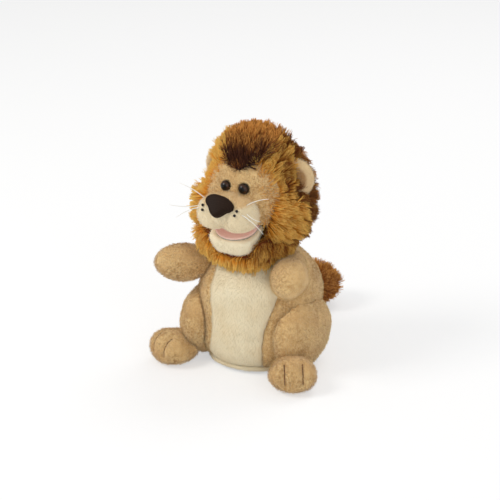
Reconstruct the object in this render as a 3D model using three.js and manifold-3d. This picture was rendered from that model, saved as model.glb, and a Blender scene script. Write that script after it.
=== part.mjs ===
// Lion hand puppet with a moving mouth, sitting with its feet forward.
// Millimetres, +Z up, the face looks along -Y and the puppet's own left is +X.
// The origin is on the floor, under the middle of the opening that the hand goes in through.
import * as THREE from "three";
import { mergeVertices } from "three/addons/utils/BufferGeometryUtils.js";
import Module from "manifold-3d";

const wasm = await Module();
wasm.setup();

// Cloth, seams and clearances
const seamGap = 0.35; // between two pieces that are sewn face to face
const plushThickness = 3; // tan plush with its pile
const liningThickness = 1.2;
const mouthClothThickness = 1;
const boardThickness = 1.5; // stiffeners above and below the mouth
const flatDepth = 0.5; // how deep a stuffed piece is pressed flat on the floor

// Torso, a hollow glove
const torsoHalfWidth = 58.5;
const torsoHalfDepth = 56;
const torsoBack = 8; // how far the chest leans back over the seat
const torsoHeight = 117;
const hemHeight = 8; // where the rolled hem is sewn on
const hemLow = 3; // the hem stands a little off the floor
const hemHalfWidth = 47;
const hemHalfDepth = 45;
const hemThickness = 4;
const neckRadius = 28.6;
// The bib widens upwards: height as a share of the torso's, then its middle and its half width,
// in degrees round from straight ahead. The soft body is twisted a little in its seat.
const bibRows = [
  [0, -6, 38],
  [0.13, -4, 35],
  [0.26, -2, 32],
  [0.4, 0, 32.5],
  [0.52, 2.5, 36],
  [0.64, 4.5, 41],
  [0.76, 6, 46],
  [0.9, 4, 55],
  [1.1, 3, 60],
];

// Haunches, feet and arms
const haunchOut = 46; // centre, from the middle of the body
const haunchBack = -3;
const haunchRadii = [23.4, 46, 38];
const footOut = { left: 59, right: 64 };
const footForward = { left: 50, right: 41 }; // the seat is twisted, so one foot is ahead
const footSplay = 28;
const footLength = 52;
const footWidth = 44;
const footHeight = 33;
const hipLength = 20; // soft cloth between a haunch and the stuffed foot
const footTurnIn = 9; // how far a foot can turn in before it meets its haunch
const toeSpread = 8.5; // from the middle of the foot to each line of toe stitches
const toeThread = 2;
const shoulderOut = { left: 39.5, right: 41 };
const shoulderForward = 10;
const shoulderRise = { left: 0.905, right: 0.795 }; // of the torso's height: the chest leans a little
const shoulderLength = 13; // the soft sewn root of an arm
const armLength = 57;
const armRadius = 17.5;
const armAims = { left: [20, -52, 3], right: [-34, -24, 4] };
const armTurnIn = { left: 0, right: 28 }; // how far an arm can turn in before it meets the chest

// Tail
const tailRootBack = 50;
const tailRootUp = 16;
const tailRootLength = 12;
const tailLength = 66;
const tailRadius = 7;
const tuftRadii = [20, 24, 22];

// Head
const headTurn = -4; // how far the head looks to its own right
const headUp = 166;
const headBack = -6;
const headRadii = [42, 38, 48]; // the stuffing
const maneRadii = [55, 50, 62];
const maneBack = 0;
const maneSplit = 12; // golden fur in front of this, dark fur behind it
const ruffRadii = [60, 27, 62]; // the golden fur spreads out round the face
const ruffForward = 16;
const ruffUp = 150;
const maneHem = 138; // the fur below this height lies on the shoulders
const maneBackLow = 126;
const collarRadii = [54, 40, 31];
const collarForward = 18;
const collarUp = 131;
const collarSlope = 26; // its lower edge rises towards the back
const forelockHalfWidth = 24;
const forelockForward = 3;
const forelockUp = 171;
const forelockRadii = [54, 48, 61.5];
const neckTubeRadius = 23.5;
const neckTubeLow = 108;
const neckTubeHigh = 131;
const neckHigh = 124; // where the head's stuffing and the fur behind it may begin
const chamberHalfWidth = 27; // room for four fingers, above the neck
const chamberHalfDepth = 24.2;
const chamberTop = 172;
const pocketHalfWidth = 22; // where the fingertips lie, above the mouth
const pocketForward = 34;
const pocketLow = 156.5;
const pocketHigh = 170;

// Face
const eyeSpread = 9.3;
const eyeUp = 185.3;
const eyeRadius = 5;
const eyeShankRadius = 1.5;
const eyeShankLength = 11;
const washerRadius = 5;
const washerThickness = 1.4;
const lobeSpread = 12;
const lobeRadii = [17.5, 19, 17];
const lobeForward = 55;
const lobeUp = 163.5;
const bridgeRadii = [17.5, 25, 15.5];
const bridgeForward = 51;
const bridgeUp = 167;
const noseHalfWidth = 14.6;
const noseHeight = 21;
const noseThickness = 8;
const noseForward = 72.5;
const noseUp = 177.2;
const noseTilt = 38;
const earOut = 38;
const earUp = 187;
const earBack = 1;
const earRadii = [19.5, 7.5, 19.5];
const earThickness = 3.6;
const earTurn = 14;
const earHollow = [17, 17, 19]; // the fur is short in front of an ear
const shortFur = 6;
const whiskerRadius = 0.35;
const whiskerLength = 28;
const dotRadius = 1.4;

// Mouth and jaw: the jaw turns about a cloth fold at the back of the mouth
const hingeForward = 28;
const hingeUp = 151;
const mouthOpen = 22; // how far the jaw hangs open as it sits
const throatWall = 6; // how far behind the hinge the stuffing ends
const mouthHalfWidth = 21.5;
const mouthLength = 34;
const lowerMouthLength = 30;
const upperLipDrop = 0.5;
const lowerLipDrop = 2;
const jawHalfWidth = 24.5;
const chinHalfWidth = 18;
const jawLength = 35;
const jawDepth = 17.5;
const jawBack = 3;
const thumbHalfWidth = 11;
const thumbDepth = 10;
const thumbClothThickness = 0.8;

const tan = cloth(0xd2a777, 0.95);
const cream = cloth(0xe6d6ab, 0.9);
const golden = cloth(0xc98634, 0.95);
const darkBrown = cloth(0x643020, 0.95);
const noseSatin = cloth(0x3a2318, 0.5);
const gloss = cloth(0x1a0f0a, 0.1);
const pink = cloth(0xe5a99c, 0.85);
const lining = cloth(0xcbb48c, 0.9);
const stuffing = cloth(0xefece4, 1);
const board = cloth(0xb8b4aa, 0.7);
const thread = cloth(0x7a4d28, 0.8);
const darkThread = cloth(0x1f1410, 0.8);
const nylon = cloth(0xf4efe2, 0.3);
const washerPlastic = cloth(0x2a2a2a, 0.6);

function cloth(color, roughness) {
  return new THREE.MeshStandardMaterial({ color, roughness, metalness: 0 });
}

const rad = THREE.MathUtils.degToRad;
const lerp = THREE.MathUtils.lerp;
const far = 400; // longer than the puppet, for cutting blocks

// From three.js geometry to a solid, and back

function solidOf(geometry) {
  const bare = new THREE.BufferGeometry();
  const loose = geometry.index ? geometry.toNonIndexed() : geometry;
  bare.setAttribute("position", loose.getAttribute("position"));
  const merged = mergeVertices(bare, 1e-3);
  const from = merged.index.array;
  const triVerts = [];
  for (let i = 0; i < from.length; i += 3) {
    const [a, b, c] = [from[i], from[i + 1], from[i + 2]];
    if (a !== b && b !== c && c !== a) triVerts.push(a, b, c);
  }
  return new wasm.Manifold(
    new wasm.Mesh({
      numProp: 3,
      vertProperties: new Float32Array(merged.attributes.position.array),
      triVerts: new Uint32Array(triVerts),
    }),
  );
}

function geometryOf(solid) {
  const mesh = solid.getMesh();
  const positions = new Float32Array(mesh.numVert * 3);
  for (let i = 0; i < mesh.numVert; i++) {
    positions.set(mesh.vertProperties.subarray(i * mesh.numProp, i * mesh.numProp + 3), i * 3);
  }
  const indexed = new THREE.BufferGeometry();
  indexed.setAttribute("position", new THREE.BufferAttribute(positions, 3));
  indexed.setIndex(new THREE.BufferAttribute(new Uint32Array(mesh.triVerts), 1));
  const flat = indexed.toNonIndexed();
  flat.computeVertexNormals();
  return flat;
}

const cut = (solid, ...others) => others.reduce((left, other) => left.subtract(other), solid);
const join = (solid, ...others) => others.reduce((left, other) => left.add(other), solid);

// The largest body of a solid: the slivers that a cut leaves aren't cloth
function mainBody(solid) {
  return solid.decompose().reduce((big, body) => (body.volume() > big.volume() ? body : big));
}

function named(name, solid, material) {
  const made = new THREE.Mesh(geometryOf(mainBody(solid)), material);
  made.name = name;
  return made;
}

// Building forms

function block(low, high) {
  const size = high.map((v, i) => v - low[i]);
  const middle = high.map((v, i) => (v + low[i]) / 2);
  return solidOf(new THREE.BoxGeometry(...size).translate(...middle));
}

const above = (z) => block([-far, -far, z], [far, far, z + far]);
const below = (z) => block([-far, -far, z - far], [far, far, z]);
const inFront = (y) => block([-far, y - far, -far], [far, y, far]);
const behind = (y) => block([-far, y, -far], [far, y + far, far]);
const half = (sign) => block([Math.min(0, sign * far), -far, -far], [Math.max(0, sign * far), far, far]);
const grown = (radii, more) => radii.map((r) => r + more);

function ellipsoid(centre, radii, around = 26, rows = 16) {
  const ball = new THREE.SphereGeometry(1, around, rows).rotateX(Math.PI / 2);
  return ball.scale(...radii).translate(...centre);
}

// A closed skin over a row of rings that hold the same number of points
function loft(rings) {
  const n = rings[0].length;
  const middleOf = (ring) =>
    ring.reduce((sum, p) => sum.add(p), new THREE.Vector3()).multiplyScalar(1 / n);
  const points = [...rings.flat(), middleOf(rings[0]), middleOf(rings[rings.length - 1])];
  const foot = rings.length * n;
  const last = foot - n;
  const index = [];
  for (let j = 0; j < n; j++) {
    const k = (j + 1) % n;
    index.push(foot, k, j, last + j, last + k, foot + 1);
    for (let i = 0; i < last; i += n) {
      index.push(i + j, i + k, i + n + k, i + j, i + n + k, i + n + j);
    }
  }
  return new THREE.BufferGeometry().setFromPoints(points).setIndex(index);
}

// A ring level with the floor, anticlockwise seen from above; roundness 2 is an ellipse
function levelRing(z, halfWidth, halfDepth, count, back = 0, roundness = 2) {
  const reach = (v) => Math.sign(v) * Math.abs(v) ** (2 / roundness);
  return Array.from({ length: count }, (_, i) => {
    const angle = (2 * Math.PI * i) / count;
    const x = halfWidth * reach(Math.cos(angle));
    return new THREE.Vector3(x, back + halfDepth * reach(Math.sin(angle)), z);
  });
}

function turnTo(aim) {
  const unit = new THREE.Vector3(...aim).normalize();
  return new THREE.Quaternion().setFromUnitVectors(new THREE.Vector3(0, 1, 0), unit);
}

// A turned form along +Y; profile rows are [distance along, radius]
function turnedForm(profile, around, steps) {
  const outline = new THREE.SplineCurve(profile.map(([along, radius]) => new THREE.Vector2(radius, along)));
  const points = outline.getPoints(steps).map((p) => new THREE.Vector2(Math.max(p.x, 0), p.y));
  points[0].x = 0;
  points[steps].x = 0;
  return new THREE.LatheGeometry(points, around);
}

// A round thread or tube along a curve
function tube(curve, radius, around, steps) {
  const section = new THREE.Shape();
  for (let i = 0; i < around; i++) {
    const angle = (2 * Math.PI * i) / around;
    const point = [radius * Math.cos(angle), radius * Math.sin(angle)];
    if (i) section.lineTo(...point);
    else section.moveTo(...point);
  }
  return new THREE.ExtrudeGeometry(section, { steps, extrudePath: curve, bevelEnabled: false });
}

// A plate from an outline drawn in the plane of X and Y, between two heights
function plate(shape, low, high, curveSegments = 8) {
  const options = { depth: high - low, bevelEnabled: false, curveSegments };
  return new THREE.ExtrudeGeometry(shape, options).translate(0, 0, low);
}

const sides = [
  { name: "left", sign: 1 },
  { name: "right", sign: -1 },
];

// Torso: a shell of plush with a cream bib in front, lined, and hemmed round the opening

const torsoSides = 32;
const torsoWaist = (rise, width, depth, back) => ({
  z: torsoHeight * rise,
  width: torsoHalfWidth * width,
  depth: torsoHalfDepth * depth,
  back: torsoBack * back,
});
const torsoRows = [
  { z: hemHeight, width: hemHalfWidth, depth: hemHalfDepth, back: 0 },
  torsoWaist(0.18, 0.93, 0.92, 0.15),
  torsoWaist(0.36, 0.99, 0.98, 0.5),
  torsoWaist(0.54, 1, 1.02, 0.95),
  torsoWaist(0.7, 0.98, 1, 1),
  torsoWaist(0.83, 0.84, 0.83, 0.85),
  torsoWaist(0.92, 0.67, 0.68, 0.5),
  { z: torsoHeight, width: neckRadius, depth: neckRadius, back: 0 },
];

// The torso's form with its surface moved out, and its ends moved out too
function torsoForm(more = 0, ends = more) {
  const shift = (i) => (i === 0 ? -ends : i === torsoRows.length - 1 ? ends : 0);
  const rings = torsoRows.map((row, i) =>
    levelRing(row.z + shift(i), row.width + more, row.depth + more, torsoSides, row.back),
  );
  return solidOf(loft(rings));
}

const hollow = (wall) => torsoForm(-wall, 5);

// The wedge of the body that the bib covers, from the middle out to its two seams
function bibWedge(shrink) {
  const reach = 2 * torsoHalfWidth;
  const rings = bibRows.map(([rise, turn, halfTurn]) => {
    const [middle, half] = [rad(turn), rad(halfTurn)];
    const inset = shrink / Math.sin(half);
    const corner = (angle, out) => {
      const x = out * Math.sin(angle) + inset * Math.sin(middle);
      const y = -out * Math.cos(angle) - inset * Math.cos(middle);
      return new THREE.Vector3(x, y, torsoHeight * rise);
    };
    return [corner(middle, 0), corner(middle - half, reach), corner(middle + half, reach)];
  });
  return solidOf(loft(rings));
}

const hemRing = (z, shift) => levelRing(z, hemHalfWidth + shift, hemHalfDepth + shift, torsoSides);

function hemBand() {
  const high = hemHeight - seamGap;
  const middle = (hemLow + high) / 2;
  const outer = [hemRing(hemLow, -1.4), hemRing(middle, 0.3), hemRing(high, -0.8)];
  const inner = [
    hemRing(hemLow - 1, 1 - hemThickness),
    hemRing(middle, -hemThickness),
    hemRing(high + 1, -hemThickness),
  ];
  return cut(solidOf(loft(outer)), solidOf(loft(inner)));
}

function haunchForm(sign, more = 0) {
  const centre = [sign * haunchOut, haunchBack, haunchRadii[2] - flatDepth];
  return solidOf(ellipsoid(centre, grown(haunchRadii, more), 22, 14));
}

function torsoPieces() {
  const skin = cut(torsoForm(), hollow(plushThickness));
  const liningAt = plushThickness + seamGap;
  const glove = cut(hollow(liningAt), hollow(liningAt + liningThickness));
  const hemMiddle = (hemLow + hemHeight) / 2;
  const clear = [
    [-1, -2],
    [hemLow, -0.8],
    [hemMiddle, 1],
    [hemHeight + 1, 1],
  ];
  const opening = solidOf(loft(clear.map(([z, shift]) => hemRing(z, shift))));
  const haunch = ({ name, sign }) =>
    named(`haunch_${name}`, cut(haunchForm(sign), torsoForm(seamGap), opening, below(0)), tan);
  return [
    named("body_shell", cut(skin, bibWedge(0)), tan),
    named("belly_bib", skin.intersect(bibWedge(seamGap)), cream),
    named("glove_lining", cut(glove, below(hemHeight + 0.5), above(torsoHeight - 1)), lining),
    named("hem_band", hemBand(), cream),
    ...sides.map(haunch),
  ];
}

// Feet: drawn along +Y with the toes at the far end, then turned out and set on the floor

const footProfile = [
  [-footLength / 2, 0],
  [-footLength * 0.46, footHeight * 0.2],
  [-footLength * 0.28, footHeight * 0.37],
  [0, footHeight * 0.46],
  [footLength * 0.22, footHeight / 2],
  [footLength * 0.41, footHeight * 0.37],
  [footLength * 0.48, footHeight * 0.18],
  [footLength / 2, 0],
];
const ankle = hipLength - footLength / 2;

function grownProfile(profile, more) {
  const end = (i) => (i === 0 ? -more : i === profile.length - 1 ? more : 0);
  return profile.map(([along, radius], i) => [along + end(i), radius && radius + more]);
}

function placeFoot(geometry, { name, sign }) {
  const heading = Math.atan2(-Math.cos(rad(footSplay)), sign * Math.sin(rad(footSplay)));
  geometry.rotateZ(heading - Math.PI / 2);
  return solidOf(geometry.translate(sign * footOut[name], -footForward[name], footHeight / 2 - flatDepth));
}

function footForm(side, more = 0) {
  const form = turnedForm(grownProfile(footProfile, more), 20, 16);
  return placeFoot(form.scale(footWidth / footHeight, 1, 1), side);
}

// Everything on the heel's side of the ankle
function heelSide(side, shift = 0) {
  const form = new THREE.BoxGeometry(far, far, far).translate(0, ankle + shift - far / 2, 0);
  return placeFoot(form, side);
}

// A solid as it lies in the frame of a piece that has turned about an upright line
function turnedAbout(solid, [x, y], angle) {
  return solid.translate([-x, -y, 0]).rotate([0, 0, -angle]).translate([x, y, 0]);
}

// Where the foot turns, in the middle of the ankle
function anklePlace({ name, sign }) {
  const x = sign * (footOut[name] + Math.sin(rad(footSplay)) * ankle);
  return [x, -footForward[name] - Math.cos(rad(footSplay)) * ankle];
}

// A line of toe stitches, from the top of the foot over its end, half sunk in the pile
function toeLine(side, offset) {
  const outline = new THREE.SplineCurve(footProfile.map(([along, r]) => new THREE.Vector2(along, r)));
  const depth = Math.abs(offset) / (footWidth / footHeight);
  const over = outline.getPoints(60).filter((p) => p.x > footLength * 0.24 && p.y > depth);
  const rise = (p) => Math.sqrt(p.y ** 2 - depth ** 2);
  const top = over.map((p) => new THREE.Vector3(offset, p.x, rise(p)));
  const front = over
    .filter((p) => p.x > footLength * 0.36)
    .reverse()
    .map((p) => new THREE.Vector3(offset, p.x, -rise(p)));
  const curve = new THREE.CatmullRomCurve3([...top, ...front]);
  return placeFoot(tube(curve, toeThread / 2, 6, 16), side);
}

function footPieces(side) {
  const haunch = haunchForm(side.sign, seamGap);
  const haunchMet = turnedAbout(haunch, anklePlace(side), -side.sign * footTurnIn);
  const heel = footForm(side).intersect(heelSide(side));
  const stitches = [-1, 1].map((way) => {
    const place = way === side.sign ? "inner" : "outer";
    const line = cut(toeLine(side, way * toeSpread), footForm(side, seamGap));
    return named(`toe_stitch_${side.name}_${place}`, line, thread);
  });
  return [
    named(`hip_${side.name}`, cut(heel, haunch, torsoForm(seamGap), below(flatDepth)), tan),
    named(`foot_${side.name}`, cut(footForm(side), heelSide(side, seamGap), haunch, haunchMet, below(0)), tan),
    ...stitches,
  ];
}

// Arms: a soft sewn root, then the stuffed arm with its round paw

const armProfile = [
  [-8, 0],
  [-6, armRadius * 0.5],
  [2, armRadius * 0.76],
  [armLength * 0.24, armRadius * 0.88],
  [armLength * 0.42, armRadius * 0.98],
  [armLength * 0.58, armRadius],
  [armLength * 0.77, armRadius * 0.86],
  [armLength * 0.93, armRadius * 0.5],
  [armLength, 0],
];

function placeArm(geometry, { name, sign }) {
  geometry.applyQuaternion(turnTo(armAims[name]));
  const height = torsoHeight * shoulderRise[name];
  return solidOf(geometry.translate(sign * shoulderOut[name], -shoulderForward, height));
}

const armForm = (side, more = 0) => placeArm(turnedForm(grownProfile(armProfile, more), 20, 16), side);

function armRootSide(side, shift = 0) {
  const middle = shoulderLength + shift - far / 2;
  return placeArm(new THREE.BoxGeometry(far, far, far).translate(0, middle, 0), side);
}

function armPieces(side) {
  const root = cut(armForm(side).intersect(armRootSide(side)), torsoForm(seamGap));
  const shoulder = [side.sign * shoulderOut[side.name], -shoulderForward];
  const chestMet = turnedAbout(torsoForm(seamGap), shoulder, -side.sign * armTurnIn[side.name]);
  const arm = cut(armForm(side), armRootSide(side, seamGap), torsoForm(seamGap), chestMet);
  return [named(`shoulder_${side.name}`, root, tan), named(`arm_${side.name}`, arm, tan)];
}

// Tail: it leaves the back above the hem, comes down to the floor and ends in a tuft

const tailEnd = tailRootBack + tailRootLength + tailLength;

function tailForm(from, to) {
  const low = tailRadius - flatDepth;
  const whole = new THREE.CatmullRomCurve3([
    new THREE.Vector3(0, tailRootBack - 12, tailRootUp),
    new THREE.Vector3(0, tailRootBack + tailRootLength * 0.5, tailRootUp),
    new THREE.Vector3(1, tailRootBack + tailRootLength + tailLength * 0.3, lerp(tailRootUp, low, 0.7)),
    new THREE.Vector3(2, tailRootBack + tailRootLength + tailLength * 0.55, low),
    new THREE.Vector3(3, tailEnd + 4, low),
  ]);
  const slab = cut(behind(from), behind(to));
  return solidOf(tube(whole, tailRadius, 12, 22)).intersect(slab);
}

function tailPieces() {
  const rootEnd = tailRootBack + tailRootLength;
  const tuftAt = [3, tailEnd + tuftRadii[1] * 0.6, tuftRadii[2] - flatDepth];
  const tuft = solidOf(ellipsoid(tuftAt, tuftRadii, 20, 14));
  const inTuft = solidOf(ellipsoid(tuftAt, grown(tuftRadii, seamGap), 20, 14));
  const root = cut(tailForm(0, rootEnd), torsoForm(seamGap));
  const tail = cut(tailForm(rootEnd + seamGap, tailEnd + 4), inTuft, below(0));
  return [
    named("tail_root", root, tan),
    named("tail", tail, tan),
    named("tail_tuft", cut(tuft, below(0)), golden),
  ];
}

// Head, drawn looking straight along -Y; the whole head is turned afterwards

const faceSkin = seamGap + plushThickness;
const headCentre = [0, headBack, headUp];
const coreForm = (more = 0) => solidOf(ellipsoid(headCentre, grown(headRadii, more), 24, 14));

// The mane: a round cap of fur, and a ruff that spreads out round the face
function maneForm() {
  const cap = solidOf(ellipsoid([0, maneBack, headUp], maneRadii, 26, 16));
  return join(cap, solidOf(ellipsoid([0, -ruffForward, ruffUp], ruffRadii, 26, 16)));
}

// The outline of the face seen from the front: two bumps with the forelock's point between
const faceEdge = [
  [0, 36],
  [6, 40],
  [13, 43],
  [20, 42],
  [28, 33],
  [35.5, 19],
  [39, 4],
  [37.5, -9],
  [33, -20],
  [29, -32],
  [17, -45],
  [0, -49],
];

// A prism through the face, from a plane inside the head forward
function faceWindow(more = 0, back = 0) {
  const right = faceEdge.map(([x, z]) => {
    const scale = 1 + more / Math.hypot(x, z);
    return new THREE.Vector2(x * scale, headUp + z * scale);
  });
  const left = right.slice(1, -1).reverse().map((p) => new THREE.Vector2(-p.x, p.y));
  const form = plate(new THREE.Shape([...right, ...left]), 0, far).rotateX(Math.PI / 2);
  return solidOf(form.translate(0, back, 0));
}

// How far forward the skin of the face lies at a point of the front view
function faceFront(x, z) {
  const [a, b, c] = grown(headRadii, faceSkin);
  return headBack - b * Math.sqrt(1 - (x / a) ** 2 - ((z - headUp) / c) ** 2);
}

// Room for the hand: an upright chamber, and a pocket for the fingertips above the mouth
function handRoom(shrink, low) {
  const [w, d, top] = [chamberHalfWidth - shrink, chamberHalfDepth - shrink, chamberTop - shrink];
  const rows = [
    [low, 1],
    [top - 12, 1],
    [top - 3, 0.84],
    [top, 0.6],
  ];
  const chamber = solidOf(loft(rows.map(([z, k]) => levelRing(z, w * k, d * k, 20, 0, 2.6))));
  const corner = [-pocketHalfWidth + shrink, -pocketForward + shrink, pocketLow + shrink];
  return join(chamber, block(corner, [pocketHalfWidth - shrink, 0, pocketHigh - shrink]));
}

// The floor of a mouth plate: straight at the hinge, round in front
function mouthOutline(halfWidth, length, more) {
  const side = halfWidth + more;
  const straight = length * 0.42;
  const shape = new THREE.Shape();
  shape.moveTo(side, more - seamGap);
  shape.lineTo(side, -straight);
  shape.absellipse(0, -straight, side, length - straight + more, 0, -Math.PI, true);
  shape.lineTo(-side, more - seamGap);
  return shape;
}

// Heights over the hinge of the cloth and the stiffener above the mouth
const upperClothLow = 0.15;
const upperBoardLow = upperClothLow + mouthClothThickness + seamGap;
const upperRoof = upperBoardLow + boardThickness + seamGap;

function upperMouthPlate(low, high, more = 0) {
  const form = plate(mouthOutline(mouthHalfWidth, mouthLength, more), low, high);
  return solidOf(form.translate(0, -hingeForward, hingeUp));
}

function muzzleForm(more = 0) {
  const lobes = sides.map(({ sign }) => {
    const centre = [sign * lobeSpread, -lobeForward, lobeUp];
    return solidOf(ellipsoid(centre, grown(lobeRadii, more), 20, 12));
  });
  const bridge = solidOf(ellipsoid([0, -bridgeForward, bridgeUp], grown(bridgeRadii, more), 20, 12));
  return cut(join(...lobes, bridge), below(hingeUp - upperLipDrop - more));
}

// A point on the skin of a muzzle lobe, by angles to the side and up
function lobePoint(sign, aside, up, out = 0) {
  const [a, u] = [rad(aside), rad(up)];
  const unit = [sign * Math.sin(a) * Math.cos(u), -Math.cos(a) * Math.cos(u), Math.sin(u)];
  const centre = [sign * lobeSpread, -lobeForward, lobeUp];
  return new THREE.Vector3(...unit.map((v, i) => centre[i] + v * (lobeRadii[i] + out)));
}

function noseForm() {
  const [w, high] = [noseHalfWidth, noseHeight * 0.42];
  const low = high - noseHeight;
  const shape = new THREE.Shape();
  shape.moveTo(0, low);
  shape.quadraticCurveTo(w * 0.3, low * 0.98, w * 0.62, low * 0.35);
  shape.quadraticCurveTo(w * 1.15, high * 0.1, w * 0.9, high * 0.62);
  shape.quadraticCurveTo(w * 0.6, high * 1.12, 0, high);
  shape.quadraticCurveTo(-w * 0.6, high * 1.12, -w * 0.9, high * 0.62);
  shape.quadraticCurveTo(-w * 1.15, high * 0.1, -w * 0.62, low * 0.35);
  shape.quadraticCurveTo(-w * 0.3, low * 0.98, 0, low);
  const round = noseThickness * 0.3;
  const options = {
    depth: noseThickness - 2 * round,
    bevelThickness: round,
    bevelSize: round,
    bevelOffset: -round,
    bevelSegments: 2,
    curveSegments: 4,
  };
  const form = new THREE.ExtrudeGeometry(shape, options).translate(0, 0, round - noseThickness / 2);
  form.rotateX(Math.PI / 2 - rad(noseTilt));
  return solidOf(form.translate(0, -noseForward, noseUp));
}

// An eye is a dome on a shank; a washer behind the cloth holds it
function eyeForms(sign) {
  const x = sign * eyeSpread;
  const front = faceFront(x, eyeUp);
  const rod = (radius, near, deep) => {
    const form = new THREE.CylinderGeometry(radius, radius, deep - near, 14);
    return solidOf(form.translate(x, (near + deep) / 2, eyeUp));
  };
  const ball = (radius) => solidOf(ellipsoid([x, front + eyeRadius * 0.15, eyeUp], [radius, radius, radius], 18, 12));
  const end = front + eyeShankLength;
  const washerNear = end - 2 * washerThickness;
  const hole = rod(eyeShankRadius + seamGap, front, end + seamGap);
  const washer = cut(rod(washerRadius, washerNear, washerNear + washerThickness), hole);
  const washerRoom = rod(
    washerRadius + seamGap,
    washerNear - seamGap,
    washerNear + washerThickness + seamGap,
  );
  return {
    eye: join(ball(eyeRadius), rod(eyeShankRadius, front, end)),
    washer,
    room: join(ball(eyeRadius + seamGap), hole, washerRoom),
  };
}

// An ear is a round disc, hollowed on the side that faces forward
function earForm(sign, more = 0) {
  const place = (form) =>
    solidOf(form.rotateZ(sign * rad(earTurn)).translate(sign * earOut, earBack, earUp));
  const outer = place(ellipsoid([0, 0, 0], grown(earRadii, more), 20, 12));
  const bowlAt = [sign * 1.5, -earRadii[1], 1];
  return cut(outer, place(ellipsoid(bowlAt, grown(earRadii, -earThickness - more), 18, 10)));
}

function earRecess(sign) {
  const centre = [sign * (earOut + 8), earBack - earHollow[1], earUp];
  return cut(solidOf(ellipsoid(centre, earHollow, 16, 10)), coreForm(shortFur));
}

// A straight cut through the mane on each side of the forelock, seen from the front
function forelockWedge(shrink) {
  const right = [
    [13 - shrink * 2, 41],
    [forelockHalfWidth - shrink, 56],
    [forelockHalfWidth - shrink, 90],
  ];
  const left = right.map(([x, z]) => [-x, z]).reverse();
  const points = [[0, 30 + shrink], ...right, ...left].map(([x, z]) => new THREE.Vector2(x, headUp + z));
  const form = plate(new THREE.Shape(points), -maneSplit + shrink, far).rotateX(Math.PI / 2);
  return solidOf(form);
}

function headPieces(bodyRooms) {
  const room = handRoom(-seamGap, neckTubeLow);
  const eyes = sides.map(({ sign }) => eyeForms(sign));
  const eyeRooms = eyes.map(({ room: eyeRoom }) => eyeRoom);
  const ears = sides.map(({ sign }) => earForm(sign));
  const earRooms = sides.map(({ sign }) => join(earForm(sign, seamGap), earRecess(sign)));
  const mouthRoom = upperMouthPlate(-9, upperRoof, seamGap);
  const throat = block([-far, -far, neckHigh - far], [far, throatWall - hingeForward, hingeUp]);

  const core = cut(coreForm(), handRoom(0, neckHigh - 9), throat, below(neckHigh), mouthRoom, ...eyeRooms);
  const thumbWay = block([-far, -far, 0], [far, 2 * throatWall - hingeForward, hingeUp]);
  const fingerLining = cut(
    handRoom(seamGap, neckTubeHigh),
    handRoom(seamGap + liningThickness, 0),
    thumbWay,
  );
  const faceForm = coreForm(faceSkin);
  const face = cut(
    faceForm.intersect(faceWindow()),
    coreForm(seamGap),
    below(hingeUp),
    mouthRoom,
    ...eyeRooms,
  );
  const muzzle = cut(muzzleForm(), coreForm(faceSkin + seamGap), mouthRoom, ...eyeRooms);
  const nose = cut(noseForm(), muzzleForm(seamGap));

  const fur = cut(maneForm(), coreForm(seamGap), faceWindow(seamGap), room, ...earRooms);
  const sideFur = cut(fur, below(maneHem), behind(maneSplit), forelockWedge(0));
  const tallFur = solidOf(ellipsoid([0, -forelockForward, forelockUp], forelockRadii, 26, 16));
  const forelock = cut(tallFur.intersect(forelockWedge(seamGap)), coreForm(seamGap), faceWindow(seamGap));
  const backFur = cut(fur, below(maneBackLow), inFront(maneSplit + seamGap));
  const collarBody = solidOf(ellipsoid([0, -collarForward, collarUp], collarRadii, 24, 14));
  const chest = new THREE.BoxGeometry(far, far, far).translate(0, 0, -far / 2);
  chest.rotateX(rad(collarSlope)).translate(0, 0, neckHigh);
  const throatRoom = block([-jawHalfWidth - 2, -hingeForward - jawLength, neckHigh - 5], [jawHalfWidth + 2, 0, far]);
  const collar = cut(
    collarBody,
    above(maneHem - seamGap),
    behind(maneSplit),
    coreForm(seamGap),
    room,
    faceWindow(seamGap),
    throatRoom,
    solidOf(chest),
    handRoom(-seamGap, 60),
    ...bodyRooms,
  );

  return [
    named("head_stuffing", core, stuffing),
    named("finger_lining", fingerLining, lining),
    named("face_panel", face, tan),
    named("muzzle", muzzle, cream),
    named("nose", mainBody(nose), noseSatin),
    named("upper_mouth_cloth", upperMouthPlate(upperClothLow, upperClothLow + mouthClothThickness), pink),
    named("upper_mouth_board", upperMouthPlate(upperBoardLow, upperBoardLow + boardThickness), board),
    named("forelock", forelock, darkBrown),
    named("mane_back", backFur, darkBrown),
    named("mane_collar", collar, golden),
    ...sides.flatMap(({ name, sign }, i) => [
      named(`eye_${name}`, eyes[i].eye, gloss),
      named(`eye_washer_${name}`, eyes[i].washer, washerPlastic),
      named(`ear_${name}`, cut(ears[i], coreForm(seamGap)), tan),
      named(`mane_${name}`, cut(sideFur, half(-sign)), golden),
      ...whiskerPieces(name, sign),
    ]),
  ];
}

// Whiskers and the embroidered dots that they grow from
const whiskerRows = [
  { aside: 65, up: 52, toward: [0.87, -0.12, 0.4], bow: 1.5 },
  { aside: 56, up: 25, toward: [0.8, -0.55, 0.05], bow: -1.5 },
  { aside: 37, up: 24, toward: [0.84, -0.12, -0.45], bow: 2 },
];
const dotRows = [
  { aside: 22, up: 34 },
  { aside: 16, up: 21 },
];

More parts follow.
